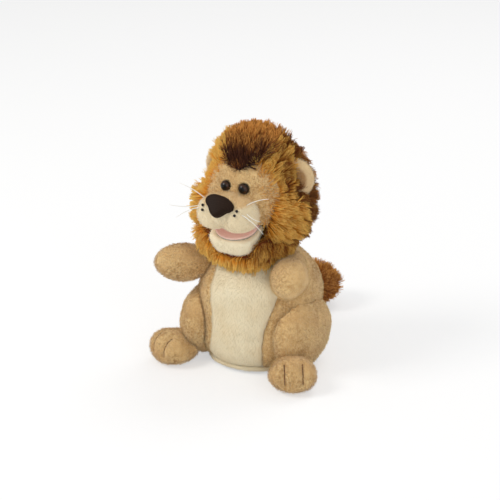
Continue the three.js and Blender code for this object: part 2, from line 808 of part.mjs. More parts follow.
function whiskerPieces(name, sign) {
  const skin = muzzleForm(seamGap);
  const whiskers = whiskerRows.map(({ aside, up, toward, bow }, i) => {
    const aim = new THREE.Vector3(sign * toward[0], toward[1], toward[2]).normalize();
    const root = lobePoint(sign, aside, up, -1);
    const tip = root.clone().addScaledVector(aim, whiskerLength);
    const middle = root.clone().lerp(tip, 0.5).add(new THREE.Vector3(0, 0, bow));
    const whisker = solidOf(tube(new THREE.CatmullRomCurve3([root, middle, tip]), whiskerRadius, 6, 8));
    return named(`whisker_${name}_${i + 1}`, cut(whisker, skin), nylon);
  });
  const dots = dotRows.map(({ aside, up }, i) => {
    const at = lobePoint(sign, aside, up, seamGap);
    const dot = solidOf(ellipsoid(at.toArray(), [dotRadius, dotRadius, dotRadius], 10, 8));
    return named(`whisker_dot_${name}_${i + 1}`, cut(dot, skin), darkThread);
  });
  return [...whiskers, ...dots];
}

// Jaw, drawn shut with its hinge at the origin

const lowerClothHigh = -0.15;
const lowerBoardHigh = lowerClothHigh - mouthClothThickness - seamGap;
const lowerFloor = lowerBoardHigh - boardThickness - seamGap;
const thumbRoof = lowerFloor - 0.7;

function lowerMouthPlate(low, high, more = 0) {
  return solidOf(plate(mouthOutline(mouthHalfWidth - 1, lowerMouthLength, more), low, high));
}

function jawForm() {
  const ring = (z, half, front, back) => {
    const right = [
      [half * 0.94, -jawBack - back],
      [half, -front * 0.5],
      [half * 0.9, -front * 0.84],
      [half * 0.58, -front * 0.98],
    ];
    const left = right.map(([x, y]) => [-x, y]);
    return [...left, [0, -front], ...right.reverse()].map(([x, y]) => new THREE.Vector3(x, y, z));
  };
  const rows = [
    [-jawDepth, chinHalfWidth * 0.8, jawLength * 0.86, 9],
    [-jawDepth * 0.93, chinHalfWidth * 1.1, jawLength * 0.97, 6],
    [-jawDepth * 0.7, lerp(chinHalfWidth, jawHalfWidth, 0.5), jawLength, 3],
    [-jawDepth * 0.35, jawHalfWidth * 0.97, jawLength * 0.98, 0.5],
    [-lowerLipDrop - 2, jawHalfWidth, jawLength * 0.95, 0],
    [-lowerLipDrop, jawHalfWidth * 0.95, jawLength * 0.91, 0],
  ];
  return solidOf(loft(rows.map((row) => ring(...row))));
}

function thumbRoom(shrink) {
  const low = [-thumbHalfWidth + shrink, -jawLength * 0.72 + shrink, thumbRoof - thumbDepth + shrink];
  return block(low, [thumbHalfWidth - shrink, 0, thumbRoof - shrink]);
}

function jawPieces() {
  const thumbLining = cut(
    thumbRoom(seamGap),
    thumbRoom(seamGap + thumbClothThickness),
    behind(-jawBack - 4),
  );
  return [
    named("lower_jaw", cut(jawForm(), lowerMouthPlate(lowerFloor, 5, seamGap), thumbRoom(0)), cream),
    named("thumb_lining", thumbLining, lining),
    named("lower_mouth_cloth", lowerMouthPlate(lowerClothHigh - mouthClothThickness, lowerClothHigh), pink),
    named("lower_mouth_board", lowerMouthPlate(lowerBoardHigh - boardThickness, lowerBoardHigh), board),
  ];
}

// The neck tube joins the glove to the head and bends where the wrist does
function neckTube() {
  const ring = (z, r) => levelRing(z, r, r, 24);
  const inner = neckTubeRadius - liningThickness;
  const outside = loft([ring(neckTubeLow, neckTubeRadius), ring(neckTubeHigh, neckTubeRadius)]);
  const inside = loft([ring(neckTubeLow - 1, inner), ring(neckTubeHigh + 1, inner)]);
  return named("neck_tube", cut(solidOf(outside), solidOf(inside)), lining);
}

const puppet = new THREE.Group();
puppet.add(...torsoPieces(), neckTube(), ...tailPieces());
for (const side of sides) puppet.add(...footPieces(side), ...armPieces(side));

const bodyForms = [torsoForm(seamGap), ...sides.map((side) => armForm(side, seamGap))];
const bodyRooms = bodyForms.map((form) => form.rotate([0, 0, -headTurn]));
const head = new THREE.Group();
head.rotation.z = rad(headTurn);
head.add(...headPieces(bodyRooms));
const jaw = new THREE.Group();
jaw.position.set(0, -hingeForward, hingeUp);
jaw.rotation.x = rad(mouthOpen);
jaw.add(...jawPieces());
head.add(jaw);
puppet.add(head);

export default puppet;
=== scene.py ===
import math
import bpy
import bmesh
import numpy as np
from mathutils import Matrix, Vector, noise


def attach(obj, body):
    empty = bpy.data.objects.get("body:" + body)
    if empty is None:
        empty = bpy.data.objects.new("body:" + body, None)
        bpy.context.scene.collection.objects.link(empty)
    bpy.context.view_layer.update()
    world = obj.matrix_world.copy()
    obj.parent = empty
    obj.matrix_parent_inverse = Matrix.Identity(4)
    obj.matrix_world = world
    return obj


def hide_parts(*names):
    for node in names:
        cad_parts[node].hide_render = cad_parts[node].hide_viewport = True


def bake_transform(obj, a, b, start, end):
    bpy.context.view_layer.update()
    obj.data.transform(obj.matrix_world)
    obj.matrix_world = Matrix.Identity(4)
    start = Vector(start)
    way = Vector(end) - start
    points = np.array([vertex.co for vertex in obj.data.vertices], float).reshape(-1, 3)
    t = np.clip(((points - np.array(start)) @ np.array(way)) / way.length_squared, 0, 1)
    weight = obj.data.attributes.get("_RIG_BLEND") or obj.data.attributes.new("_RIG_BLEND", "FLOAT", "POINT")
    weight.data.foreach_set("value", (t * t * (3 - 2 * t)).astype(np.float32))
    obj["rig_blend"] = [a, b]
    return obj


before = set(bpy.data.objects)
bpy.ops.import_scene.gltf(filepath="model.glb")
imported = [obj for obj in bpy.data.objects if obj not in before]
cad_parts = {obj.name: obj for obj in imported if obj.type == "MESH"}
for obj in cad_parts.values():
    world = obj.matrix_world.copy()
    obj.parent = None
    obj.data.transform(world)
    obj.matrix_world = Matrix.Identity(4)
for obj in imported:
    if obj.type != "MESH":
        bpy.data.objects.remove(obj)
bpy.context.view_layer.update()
context = bpy.context
sides = {"left": 1, "right": -1}
headTurn = math.radians(-4)  # the head looks a little to its own right


def mm(*values):
    return Vector(values) / 1000


def headPlace(point):  # from the head's own straight frame to the puppet's
    return Matrix.Rotation(headTurn, 3, "Z") @ Vector(point)


def turned(points, angle):  # many points, about the upright axis
    c, s = math.cos(angle), math.sin(angle)
    return points @ np.array([[c, s, 0], [-s, c, 0], [0, 0, 1]])


def inHead(points):
    return turned(points, -headTurn)


def outOfHead(vectors):
    return turned(vectors, headTurn)


# Node helpers, for materials and for Geometry Nodes

def setInputs(node, values):  # a socket is linked in, and anything else is set as it is
    for key, value in values.items():
        if isinstance(value, bpy.types.NodeSocket):
            node.id_data.links.new(value, node.inputs[key])
        else:
            node.inputs[key].default_value = value


class Nodes:  # makes nodes in one tree; all but make and speckle give the one output that counts
    def __init__(self, tree):
        self.tree = tree

    def make(self, kind, inputs=None, **settings):
        node = self.tree.nodes.new(kind)
        for key, value in settings.items():
            setattr(node, key, value)
        setInputs(node, inputs or {})
        return node

    def first(self, kind, inputs=None, **settings):
        return self.make(kind, inputs, **settings).outputs[0]

    def geo(self, kind, inputs=None, **settings):
        return self.first("GeometryNode" + kind, inputs, **settings)

    def scalar(self, operation, a, b=0.0, **settings):
        return self.first("ShaderNodeMath", {0: a, 1: b}, operation=operation, **settings)

    def vector(self, operation, a, b=(0, 0, 0)):
        return self.first("ShaderNodeVectorMath", {0: a, 1: b}, operation=operation)

    def times(self, a, amount):
        return self.first("ShaderNodeVectorMath", {0: a, "Scale": amount}, operation="SCALE")

    def mapped(self, value, low, high, least=0.0, most=1.0, **settings):
        return self.first("ShaderNodeMapRange", {0: value, 1: low, 2: high, 3: least, 4: most}, **settings)

    def eased(self, value, low, high):
        return self.mapped(value, low, high, interpolation_type="SMOOTHSTEP")

    def between(self, share, a, b):
        return self.first("ShaderNodeMix", {0: share, 2: a, 3: b}, data_type="FLOAT")

    def colour(self, share, a, b):
        return self.make("ShaderNodeMix", {0: share, 6: a, 7: b}, data_type="RGBA").outputs[2]

    def bump(self, height, distance, strength):
        return self.first("ShaderNodeBump", {"Height": height, "Distance": distance, "Strength": strength})

    def combined(self, x=0.0, y=0.0, z=0.0):
        return self.first("ShaderNodeCombineXYZ", {0: x, 1: y, 2: z})

    def speckle(self, place, scale, detail, **more):
        return self.make("ShaderNodeTexNoise", {"Vector": place, "Scale": scale, "Detail": detail, **more}).outputs

    def objectPlace(self):
        return self.make("ShaderNodeTexCoord").outputs["Object"]

    def instanced(self, points, instance, along, size):  # each turned along a direction
        turn = self.first("FunctionNodeAlignRotationToVector", {"Vector": along}, axis="Z")
        laid = self.geo("InstanceOnPoints", {"Points": points, "Instance": instance, "Rotation": turn, "Scale": size})
        return self.geo("RealizeInstances", {"Geometry": laid})

    def finished(self, geometry, material):
        smooth = self.geo("SetShadeSmooth", {"Geometry": geometry})
        return self.geo("SetMaterial", {"Geometry": smooth, "Material": material})


socketKinds = {float: "Float", int: "Int", tuple: "Color"}


def newGroup(name, kind, inputs, outputs):  # an input is given by its default, or by its kind where it has none
    group = bpy.data.node_groups.new(name, kind)
    for way, sockets in (("INPUT", inputs), ("OUTPUT", outputs)):
        for label, value in sockets.items():
            named = isinstance(value, str)
            word = value if named else socketKinds[type(value)]
            made = group.interface.new_socket(label, in_out=way, socket_type="NodeSocket" + word)
            if not named:
                made.default_value = value
    start, end = group.nodes.new("NodeGroupInput"), group.nodes.new("NodeGroupOutput")
    return Nodes(group), start.outputs, end


def emptied(owner):  # of a world or a material
    owner.use_nodes = True
    owner.node_tree.nodes.clear()
    return Nodes(owner.node_tree)


def addObject(name, data):
    ob = bpy.data.objects.new(name, data)
    context.scene.collection.objects.link(ob)
    return ob


# Camera, light and floor

view = {"azimuth": 25, "elevation": 21, "distance": 1.6, "lens": 121.3, "aim": (0, 0, 0.110), "aside": -0.0067,
        "up": -0.0005}
lamps = {  # place, size, watts, colour
    "key": ((-1.1, -1.1, 1.5), 0.9, 17, (1, 0.985, 0.96)),
    "fill": ((1.5, -1.2, 0.9), 1.2, 6, (0.96, 0.98, 1)),
    "top": ((0.3, 1.1, 1.7), 1.2, 9, (1, 1, 1)),
}
surround = {"lights": 0.5, "seen": 1.0}  # the strength that falls on things, and that the camera sees
ground = {"half": 9, "grey": 0.9, "glow": 1.2, "glowSeen": 0.45}


def makeCamera():
    a, e = math.radians(view["azimuth"]), math.radians(view["elevation"])
    toward = Vector((math.sin(a) * math.cos(e), -math.cos(a) * math.cos(e), math.sin(e)))
    right = Vector((math.cos(a), math.sin(a), 0))
    up = toward.cross(right)
    aim = Vector(view["aim"]) + right * view["aside"] + up * view["up"]
    data = bpy.data.cameras.new("camera")
    data.lens, data.sensor_width, data.clip_start = view["lens"], 36, 0.05
    camera = addObject("camera", data)
    camera.matrix_world = Matrix((right, up, toward)).transposed().to_4x4()
    camera.location = aim + toward * view["distance"]
    context.scene.camera = camera


def makeLight():
    for name, (place, size, watts, colour) in lamps.items():
        data = bpy.data.lights.new(name, "AREA")
        data.shape, data.size, data.energy, data.color = "DISK", size, watts, colour
        lamp = addObject(name, data)
        lamp.location = place
        lamp.rotation_euler = (Vector(place) - mm(0, 0, 120)).to_track_quat("Z", "Y").to_euler()
    world = bpy.data.worlds.new("studio")
    context.scene.world = world
    n = emptied(world)
    path = n.make("ShaderNodeLightPath").outputs
    seen = n.scalar("MAXIMUM", path["Is Camera Ray"], path["Is Transmission Ray"])
    soft, white = (n.first("ShaderNodeBackground", {"Color": (1, 1, 1, 1), "Strength": surround[key]})
                   for key in ("lights", "seen"))
    n.make("ShaderNodeOutputWorld", {0: n.first("ShaderNodeMixShader", {0: seen, 1: soft, 2: white})})


def makeFloor():
    mesh = bpy.data.meshes.new("floor")
    w = ground["half"]
    mesh.from_pydata([(-w, -w, 0), (w, -w, 0), (w, w, 0), (-w, w, 0)], [], [(0, 1, 2, 3)])
    floor = addObject("floor", mesh)
    pale = bpy.data.materials.new("paleFloor")
    n = emptied(pale)
    path = n.make("ShaderNodeLightPath").outputs
    seen = n.scalar("MULTIPLY", path["Is Camera Ray"], ground["glowSeen"])
    matt = n.first("ShaderNodeBsdfDiffuse", {"Color": (*[ground["grey"]] * 3, 1)})
    glow = n.first("ShaderNodeEmission", {"Strength": ground["glow"]})
    n.make("ShaderNodeOutputMaterial", {0: n.first("ShaderNodeMixShader", {0: seen, 1: matt, 2: glow})})
    mesh.materials.append(pale)


context.scene.view_settings.view_transform = "Standard"
makeCamera()
makeLight()
makeFloor()
print("camera, lamps and floor made")


# Shader groups that several materials share

def pileColourGroup():  # tone runs across the strands, along runs from root to tip
    black, white = (0, 0, 0, 1), (1, 1, 1, 1)
    n, given, result = newGroup("pileColour", "ShaderNodeTree", {
        "Tone": 0.5, "Along": 0.5, "Root": black, "Dark": black, "Light": white, "Tip": white,
        "Root Reach": 0.5, "Root Share": 1.0, "Tip Start": 0.7,
    }, {"Color": "Color"})
    body = n.colour(given["Tone"], given["Dark"], given["Light"])
    least = n.scalar("SUBTRACT", 1.0, given["Root Share"])
    share = n.scalar("MAXIMUM", n.eased(given["Along"], 0.0, given["Root Reach"]), least)
    low = n.colour(share, given["Root"], body)
    toTip = n.eased(given["Along"], given["Tip Start"], 1.0)
    tipped = n.scalar("MULTIPLY", toTip, n.mapped(given["Tone"], 0.1, 0.7))
    setInputs(result, {"Color": n.colour(tipped, low, given["Tip"])})
    return n.tree


def weaveGroup():  # two sets of threads over and under each other
    n, given, result = newGroup("weave", "ShaderNodeTree", {
        "Vector": "Vector", "Threads": 2000.0, "Unevenness": 0.3,
    }, {"Height": "Float", "Mask": "Float"})
    uneven = n.speckle(given["Vector"], 180.0, 2.0)
    shift = n.vector("MULTIPLY", uneven["Color"], (0.0015, 0.0015, 0.0015))
    where = n.times(n.vector("ADD", given["Vector"], shift), given["Threads"])
    x, y, z = (n.scalar("SINE", part) for part in n.make("ShaderNodeSeparateXYZ", {0: where}).outputs)
    height = n.mapped(n.scalar("ADD", y, n.scalar("MULTIPLY", x, z)), -1.6, 1.6)
    setInputs(result, {"Height": height, "Mask": n.between(given["Unevenness"], height, uneven["Fac"])})
    return n.tree


pileColour, weave = pileColourGroup(), weaveGroup()


def newMaterial(name):
    material = bpy.data.materials.new(name)
    n = emptied(material)
    shader = n.make("ShaderNodeBsdfPrincipled")
    n.make("ShaderNodeOutputMaterial", {"Surface": shader.outputs[0]})
    return material, n, shader


furColours = {  # root, dark and light tone, tip
    "tan": ((0.66, 0.41, 0.17), (0.56, 0.32, 0.12), (1.0, 0.76, 0.39), (1.0, 0.88, 0.55)),
    # ear: its light tone is painted light on the ear's rim, its dark tone painted shade in the ear's hollow
    "ear": ((0.56, 0.32, 0.13), (0.50, 0.25, 0.085), (1.0, 0.80, 0.48), (1.0, 0.88, 0.60)),
    "cream": ((0.90, 0.79, 0.55), (0.90, 0.76, 0.51), (1.0, 0.93, 0.73), (1.0, 0.96, 0.82)),
    "muzzle": ((0.82, 0.66, 0.40), (0.72, 0.42, 0.13), (0.97, 0.89, 0.67), (0.98, 0.92, 0.75)),
    "golden": ((0.17, 0.032, 0.007), (0.19, 0.040, 0.009), (1.0, 0.42, 0.04), (1.0, 0.66, 0.17)),
    "dark": ((0.04, 0.011, 0.006), (0.070, 0.022, 0.012), (0.42, 0.12, 0.018), (0.85, 0.40, 0.09)),
    "tuft": ((0.13, 0.032, 0.008), (0.30, 0.085, 0.016), (0.56, 0.19, 0.028), (0.88, 0.46, 0.12)),
}


def furMaterial(name, colours, roughness=0.75, sheen=0.1, sheenTint=(1, 0.88, 0.7, 1), rootReach=0.5, rootShare=1.0,
                tipStart=0.55, napShadeAndBump=0.0, specular=0.1):  # napShadeAndBump is how strongly short pile shows crinkled tufts: painted shade between them as darker and lighter tone, and their bump
    material, n, shader = newMaterial(name)
    parts = n.make("ShaderNodeSeparateXYZ", {0: n.first("ShaderNodeUVMap", uv_map="OFBake")}).outputs
    place = n.objectPlace()
    crinkle = n.speckle(place, 420.0, 2.0, Distortion=1.0)["Fac"]
    amount = n.mapped(n.speckle(place, 42.0, 1.0)["Fac"], 0.4, 0.62, 0.25 * napShadeAndBump, napShadeAndBump)
    # painted shade between crinkled tufts: it darkens and lightens the tone, and drives the bump as well
    tuftShadeAndBump = n.scalar("MULTIPLY", n.scalar("SUBTRACT", crinkle, 0.5), amount)
    inputs = {label: (*colour, 1) for label, colour in zip(("Root", "Dark", "Light", "Tip"), furColours[colours])}
    inputs.update({"Tone": n.scalar("ADD", parts["X"], tuftShadeAndBump, use_clamp=True), "Along": parts["Y"],
                   "Root Reach": rootReach, "Root Share": rootShare, "Tip Start": tipStart})
    setInputs(shader, {
        "Base Color": n.make("ShaderNodeGroup", inputs, node_tree=pileColour).outputs["Color"],
        "Normal": n.bump(tuftShadeAndBump, 0.0006, 0.6), "Roughness": roughness, "Specular IOR Level": specular,
        "Sheen Weight": sheen, "Sheen Roughness": 0.45, "Sheen Tint": sheenTint,
    })
    return material


def wovenMaterial(name, dark, light, threads, roughness, depth, sheen=0.2, specular=0.3):
    material, n, shader = newMaterial(name)
    place = n.objectPlace()
    cloth = n.make("ShaderNodeGroup", {"Vector": place, "Threads": threads}, node_tree=weave).outputs
    wear = n.speckle(place, 60.0, 4.0)["Fac"]
    setInputs(shader, {
        "Base Color": n.colour(n.between(0.45, cloth["Mask"], wear), (*dark, 1), (*light, 1)),
        "Normal": n.bump(cloth["Height"], depth, 0.8), "Sheen Weight": sheen, "Specular IOR Level": specular,
        "Roughness": n.mapped(wear, 0.0, 1.0, roughness - 0.08, roughness + 0.08),
    })
    return material


def noiseMaterial(name, dark, light, scale, roughness, depth, specular=0.3, sheen=0.0, stretch=(1, 1, 1)):
    material, n, shader = newMaterial(name)
    place = n.objectPlace()
    drawn = n.first("ShaderNodeMapping", {"Vector": place, "Scale": stretch})
    grain = n.speckle(drawn, scale, 5.0, Roughness=0.6)["Fac"]
    broad = n.speckle(place, scale / 12, 2.0)["Fac"]
    spread = n.mapped(n.between(0.4, grain, broad), 0.3, 0.7)
    setInputs(shader, {
        "Base Color": n.colour(spread, (*dark, 1), (*light, 1)), "Normal": n.bump(grain, depth, 0.7),
        "Roughness": n.mapped(broad, 0.0, 1.0, roughness * 0.85, roughness * 1.15),
        "Specular IOR Level": specular, "Sheen Weight": sheen,
    })
    return material


def eyeMaterial():  # a brown iris round a black pupil, by the distance from the eye's own axis
    material, n, shader = newMaterial("eyeGloss")
    ring = n.make("ShaderNodeAttribute", attribute_name="fromMiddle").outputs["Fac"]
    streak = n.speckle(n.objectPlace(), 900.0, 2.0)["Fac"]
    iris = n.colour(streak, (0.03, 0.012, 0.006, 1), (0.07, 0.028, 0.012, 1))
    inner = n.colour(n.eased(ring, 0.5, 0.72), (0.004, 0.003, 0.003, 1), iris)
    setInputs(shader, {
        "Base Color": n.colour(n.eased(ring, 0.88, 0.97), inner, (0.006, 0.004, 0.003, 1)), "Roughness": 0.3,
        "Specular IOR Level": 0.2, "Coat Weight": 0.3, "Coat Roughness": 0.02,
    })
    return material


shortPile = {"rootReach": 0.3, "rootShare": 0.35}
tanPile = furMaterial("tanPile", "tan", sheen=0.75, napShadeAndBump=4.0, **shortPile)
earPile = furMaterial("earPile", "ear", sheen=0.8, napShadeAndBump=1.5, **shortPile)
creamPile = furMaterial("creamPile", "cream", sheen=0.6, napShadeAndBump=0.7, **shortPile)
muzzlePile = furMaterial("muzzlePile", "muzzle", sheen=0.5, napShadeAndBump=0.25, **shortPile)
goldenFur = furMaterial("goldenFur", "golden", roughness=0.5, sheen=0.5, sheenTint=(1, 0.6, 0.2, 1), tipStart=0.5)
darkFur = furMaterial("darkFur", "dark", roughness=0.5, tipStart=0.6)
tuftFur = furMaterial("tuftFur", "tuft", roughness=0.5, rootReach=0.6, tipStart=0.65)
noseSatin = wovenMaterial("noseSatin", (0.008, 0.004, 0.002), (0.030, 0.013, 0.006), 5200.0, 0.55, 0.0001, sheen=0.0,
                          specular=0.12)
mouthFelt = noiseMaterial("mouthFelt", (0.90, 0.56, 0.47), (1.0, 0.76, 0.66), 700.0, 0.9, 0.0002, sheen=0.3)
# a dark brown lining: painted shade for the neck tube, where it shows through a gap between jaw and mane
paintedShadeLining = wovenMaterial("paintedShadeLining", (0.045, 0.018, 0.009), (0.11, 0.045, 0.02), 4200.0, 0.9, 0.00015)
liningCloth = wovenMaterial("liningCloth", (0.46, 0.33, 0.17), (0.70, 0.56, 0.34), 4200.0, 0.85, 0.00015)
stuffingFibre = noiseMaterial("stuffingFibre", (0.72, 0.71, 0.66), (0.93, 0.92, 0.88), 260.0, 0.95, 0.0008, sheen=0.3)
stiffBoard = noiseMaterial("stiffBoard", (0.38, 0.36, 0.31), (0.55, 0.53, 0.47), 500.0, 0.7, 0.0001, stretch=(1, 6, 1))
washerPlastic = noiseMaterial("washerPlastic", (0.016, 0.016, 0.016), (0.04, 0.04, 0.04), 800.0, 0.5, 0.00005)
whiskerNylon = noiseMaterial("whiskerNylon", (0.86, 0.82, 0.72), (0.96, 0.94, 0.88), 600.0, 0.28, 0.00002, specular=0.6)
brownThread = noiseMaterial("brownThread", (0.10, 0.035, 0.014), (0.30, 0.13, 0.05), 1600.0, 0.8, 0.0001, sheen=0.2)
darkThread = noiseMaterial("darkThread", (0.008, 0.005, 0.004), (0.03, 0.018, 0.013), 1800.0, 0.7, 0.0001, sheen=0.2)
eyeGloss = eyeMaterial()
print("materials made")


# Geometry Nodes: a coat of hair on a skin, long for the mane and short for the plush

def coatTree():
    n, given, result = newGroup("coat", "GeometryNodeTree", {
        "Geometry": "Geometry", "Density": 1.0, "Length": 0.01, "Length Spread": 0.3, "Width": 0.0003, "Lean": 1.0,
        "Jitter": 0.2, "Curl": 0.2, "Sag": 0.1, "Clump Size": 0.006, "Clump Pull": 0.4, "Clump Spread": 0.3,
        "Tone Spread": 0.2, "Patch Size": 0.012, "Patch Spread": 0.3, "Segments": 2, "Seed": 1, "Material": "Material",
    }, {"Geometry": "Geometry"})
    make, geo, scalar, vector, times = n.make, n.geo, n.scalar, n.vector, n.times

    def stored(geometry, name, value, kind="FLOAT", domain="POINT"):
        return make("GeometryNodeStoreNamedAttribute", {"Geometry": geometry, "Name": name, "Value": value},
                    data_type=kind, domain=domain).outputs["Geometry"]

    def read(name, kind="FLOAT"):
        return make("GeometryNodeInputNamedAttribute", {"Name": name}, data_type=kind).outputs["Attribute"]

    def chance(low, high, shift):
        seed = scalar("ADD", given["Seed"], float(shift))
        return make("FunctionNodeRandomValue", {2: low, 3: high, "Seed": seed}, data_type="FLOAT").outputs[1]

    place = geo("InputPosition")
    patches = n.speckle(times(place, scalar("DIVIDE", 1.0, given["Patch Size"])), 1.0, 2.0)["Fac"]
    patch = scalar("MULTIPLY", scalar("SUBTRACT", patches, 0.5), given["Patch Spread"])
    skin = stored(given["Geometry"], "tone", scalar("ADD", read("shade"), patch))

    density = scalar("MULTIPLY", given["Density"], read("cover"))
    spread = make("GeometryNodeDistributePointsOnFaces", {"Mesh": skin, "Density": density, "Seed": given["Seed"]})
    points = spread.outputs["Points"]
    clumps = times(place, scalar("DIVIDE", 1.0, given["Clump Size"]))
    cells = make("ShaderNodeTexVoronoi", {"Vector": clumps, "Scale": 1.0})
    cellPlace = times(cells.outputs["Position"], given["Clump Size"])
    cellRandom = vector("SUBTRACT", cells.outputs["Color"], (0.5, 0.5, 0.5))
    length = scalar("MULTIPLY", scalar("MULTIPLY", given["Length"], read("reach")),
                    scalar("SUBTRACT", 1.0, scalar("MULTIPLY", given["Length Spread"], chance(0.0, 1.0, 3))))
    points = stored(points, "strand", length)
    toCell = times(vector("SUBTRACT", cellPlace, place), given["Clump Pull"])
    sway = times(cellRandom, scalar("MULTIPLY", length, given["Clump Spread"]))
    curl = times(read("comb", "FLOAT_VECTOR"), scalar("MULTIPLY", length, given["Curl"]))
    down = n.combined(z=scalar("MULTIPLY", scalar("MULTIPLY", length, given["Sag"]), -1.0))
    bend = vector("ADD", vector("ADD", toCell, sway), vector("ADD", curl, down))
    points = stored(points, "bend", bend, "FLOAT_VECTOR")
    varied = scalar("MULTIPLY", chance(-0.5, 0.5, 5), given["Tone Spread"])
    points = stored(points, "tone", scalar("ADD", read("tone"), varied))
    wild = n.first("FunctionNodeRandomValue", {0: (-1, -1, -1), 1: (1, 1, 1), "Seed": given["Seed"]},
                   data_type="FLOAT_VECTOR")
    leaning = vector("ADD", spread.outputs["Normal"], times(read("comb", "FLOAT_VECTOR"), given["Lean"]))
    heading = vector("ADD", leaning, times(wild, given["Jitter"]))
    size = n.combined(given["Width"], given["Width"], length)

    line = geo("CurvePrimitiveLine", {"Start": (0, 0, 0), "End": (0, 0, 1)})
    count = scalar("ADD", given["Segments"], 1.0)
    line = geo("ResampleCurve", {"Curve": line, "Count": count}, mode="COUNT")
    factor = make("GeometryNodeSplineParameter").outputs["Factor"]
    line = stored(line, "along", factor)
    thin = scalar("SUBTRACT", 1.0, scalar("POWER", factor, 1.8))
    line = geo("SetCurveRadius", {"Curve": line, "Radius": thin})
    ring = geo("CurvePrimitiveCircle", {"Resolution": 3, "Radius": 1.0}, mode="RADIUS")
    strand = geo("CurveToMesh", {"Curve": line, "Profile Curve": ring})
    strand = geo("MergeByDistance", {"Geometry": strand, "Distance": 0.001})

    hair = n.instanced(points, strand, heading, size)
    along = read("along")
    offset = times(read("bend", "FLOAT_VECTOR"), scalar("POWER", along, 1.7))
    hair = geo("SetPosition", {"Geometry": hair, "Offset": offset})
    both = make("GeometryNodeJoinGeometry")
    for part in (hair, skin):
        n.tree.links.new(part, both.inputs[0])
    # The map that colours are read from: across it runs the tone, up it the place along the strand
    tone = n.first("ShaderNodeClamp", {"Value": read("tone"), "Min": 0.02, "Max": 0.98})
    uv = n.combined(tone, n.mapped(along, 0.0, 1.0, 0.02, 0.98))
    coat = stored(both.outputs[0], "OFBake", uv, "FLOAT2", "CORNER")
    setInputs(result, {"Geometry": n.finished(coat, given["Material"])})
    return n.tree


coatNodes = coatTree()


# Meshes

def ramp(values, start, over, low=0.0):  # from low to 1, over that length from the start
    return np.clip(low + (values - start) / over, low, 1)


def bell(values, middle, width):
    return np.exp(-(((values - middle) / width) ** 2))


def gathered(items, field, width=3):
    found = np.zeros(len(items) * width, np.float32)
    items.foreach_get(field, found)
    return found if width == 1 else found.reshape(-1, width).astype(float)


def coordinates(ob):
    return gathered(ob.data.vertices, "co")


def setCoordinates(ob, points):
    ob.data.vertices.foreach_set("co", points.astype(np.float32).ravel())
    ob.data.update()


def vertexNormals(ob):
    return gathered(ob.data.vertex_normals, "vector")


def keepOn(ob, name, values):  # as an attribute of the mesh's points
    layers = ob.data.attributes
    if name in layers:
        layers.remove(layers[name])
    kind, field = ("FLOAT_VECTOR", "vector") if values.ndim == 2 else ("FLOAT", "value")
    layers.new(name, kind, "POINT").data.foreach_set(field, values.astype(np.float32).ravel())


def dressed(ob, material):
    ob.data.materials.clear()
    ob.data.materials.append(material)
    return ob


def applied(ob):  # the mesh with its modifiers, as the object's own
    graph = context.evaluated_depsgraph_get()
    made = bpy.data.meshes.new_from_object(ob.evaluated_get(graph), depsgraph=graph)
    ob.modifiers.clear()
    old, ob.data = ob.data, made
    bpy.data.meshes.remove(old)
    made.shade_smooth()
    return ob


def grown(ob, tree, values):  # runs a tree on a piece and keeps the result as its plain mesh
    modifier = ob.modifiers.new(tree.name, "NODES")
    modifier.node_group = tree
    for item in tree.interface.items_tree:
        if item.item_type == "SOCKET" and item.in_out == "INPUT" and item.name in values:
            modifier[item.identifier] = values[item.name]
    return applied(ob)


def fromShape(name, shape):  # an object from a bmesh
    mesh = bpy.data.meshes.new(name)
    shape.to_mesh(mesh)
    shape.free()
    mesh.shade_smooth()
    return addObject(name, mesh)


def fromPoints(name, points, faces):
    mesh = bpy.data.meshes.new(name)
    mesh.from_pydata([tuple(p) for p in points], [], faces)
    shape = bmesh.new()
    shape.from_mesh(mesh)
    bpy.data.meshes.remove(mesh)
    bmesh.ops.remove_doubles(shape, verts=shape.verts, dist=1e-6)
    bmesh.ops.recalc_face_normals(shape, faces=shape.faces)
    return fromShape(name, shape)


def cadCopy(name, *nodes):  # one merged mesh from CAD nodes
    shape = bmesh.new()
    for node in nodes:
        shape.from_mesh(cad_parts[node].data)
    bmesh.ops.remove_doubles(shape, verts=shape.verts, dist=1e-6)
    return fromShape(name, shape)


def softCopy(name, voxel, rounds, *nodes):  # the same with even faces and rounded edges
    ob = cadCopy(name, *nodes)
    remesh = ob.modifiers.new("remesh", "REMESH")
    remesh.mode, remesh.voxel_size = "VOXEL", voxel
    smooth = ob.modifiers.new("smooth", "SMOOTH")
    smooth.iterations, smooth.factor = rounds, 0.5
    return applied(ob)


def fineCopy(name, node, longest=0.006, size=0.008, depth=0.00025):  # hidden cloth, divided and rumpled
    ob = cadCopy(name, node)
    shape = bmesh.new()
    shape.from_mesh(ob.data)
    for _ in range(3):
        long = [e for e in shape.edges if e.calc_length() > longest]
        if long:
            bmesh.ops.subdivide_edges(shape, edges=long, cuts=1)
            bmesh.ops.triangulate(shape, faces=shape.faces)
    shape.to_mesh(ob.data)
    shape.free()
    ob.data.shade_smooth()
    return lumps(ob, size, depth)


def lumps(ob, size, depth, seed=0.0):  # soft hollows and swellings of stuffed cloth
    points, normals = coordinates(ob), vertexNormals(ob)
    at = [noise.noise(Vector(p) / size + Vector((seed, seed * 0.7, 0))) for p in points]
    setCoordinates(ob, points + normals * (np.array(at) * depth)[:, None])
    return ob


def onFloor(ob, low=0.0004):
    points = coordinates(ob)
    points[:, 2] = np.maximum(points[:, 2], low)
    setCoordinates(ob, points)
    return ob


def distanceTo(points, path):
    line = np.array([list(p) for p in path])
    near = np.full(len(points), 1.0)
    for a, b in zip(line[:-1], line[1:]):
        run = b - a
        t = np.clip(((points - a) @ run) / max(run @ run, 1e-12), 0, 1)
        near = np.minimum(near, np.linalg.norm(points - a - t[:, None] * run, axis=1))
    return near


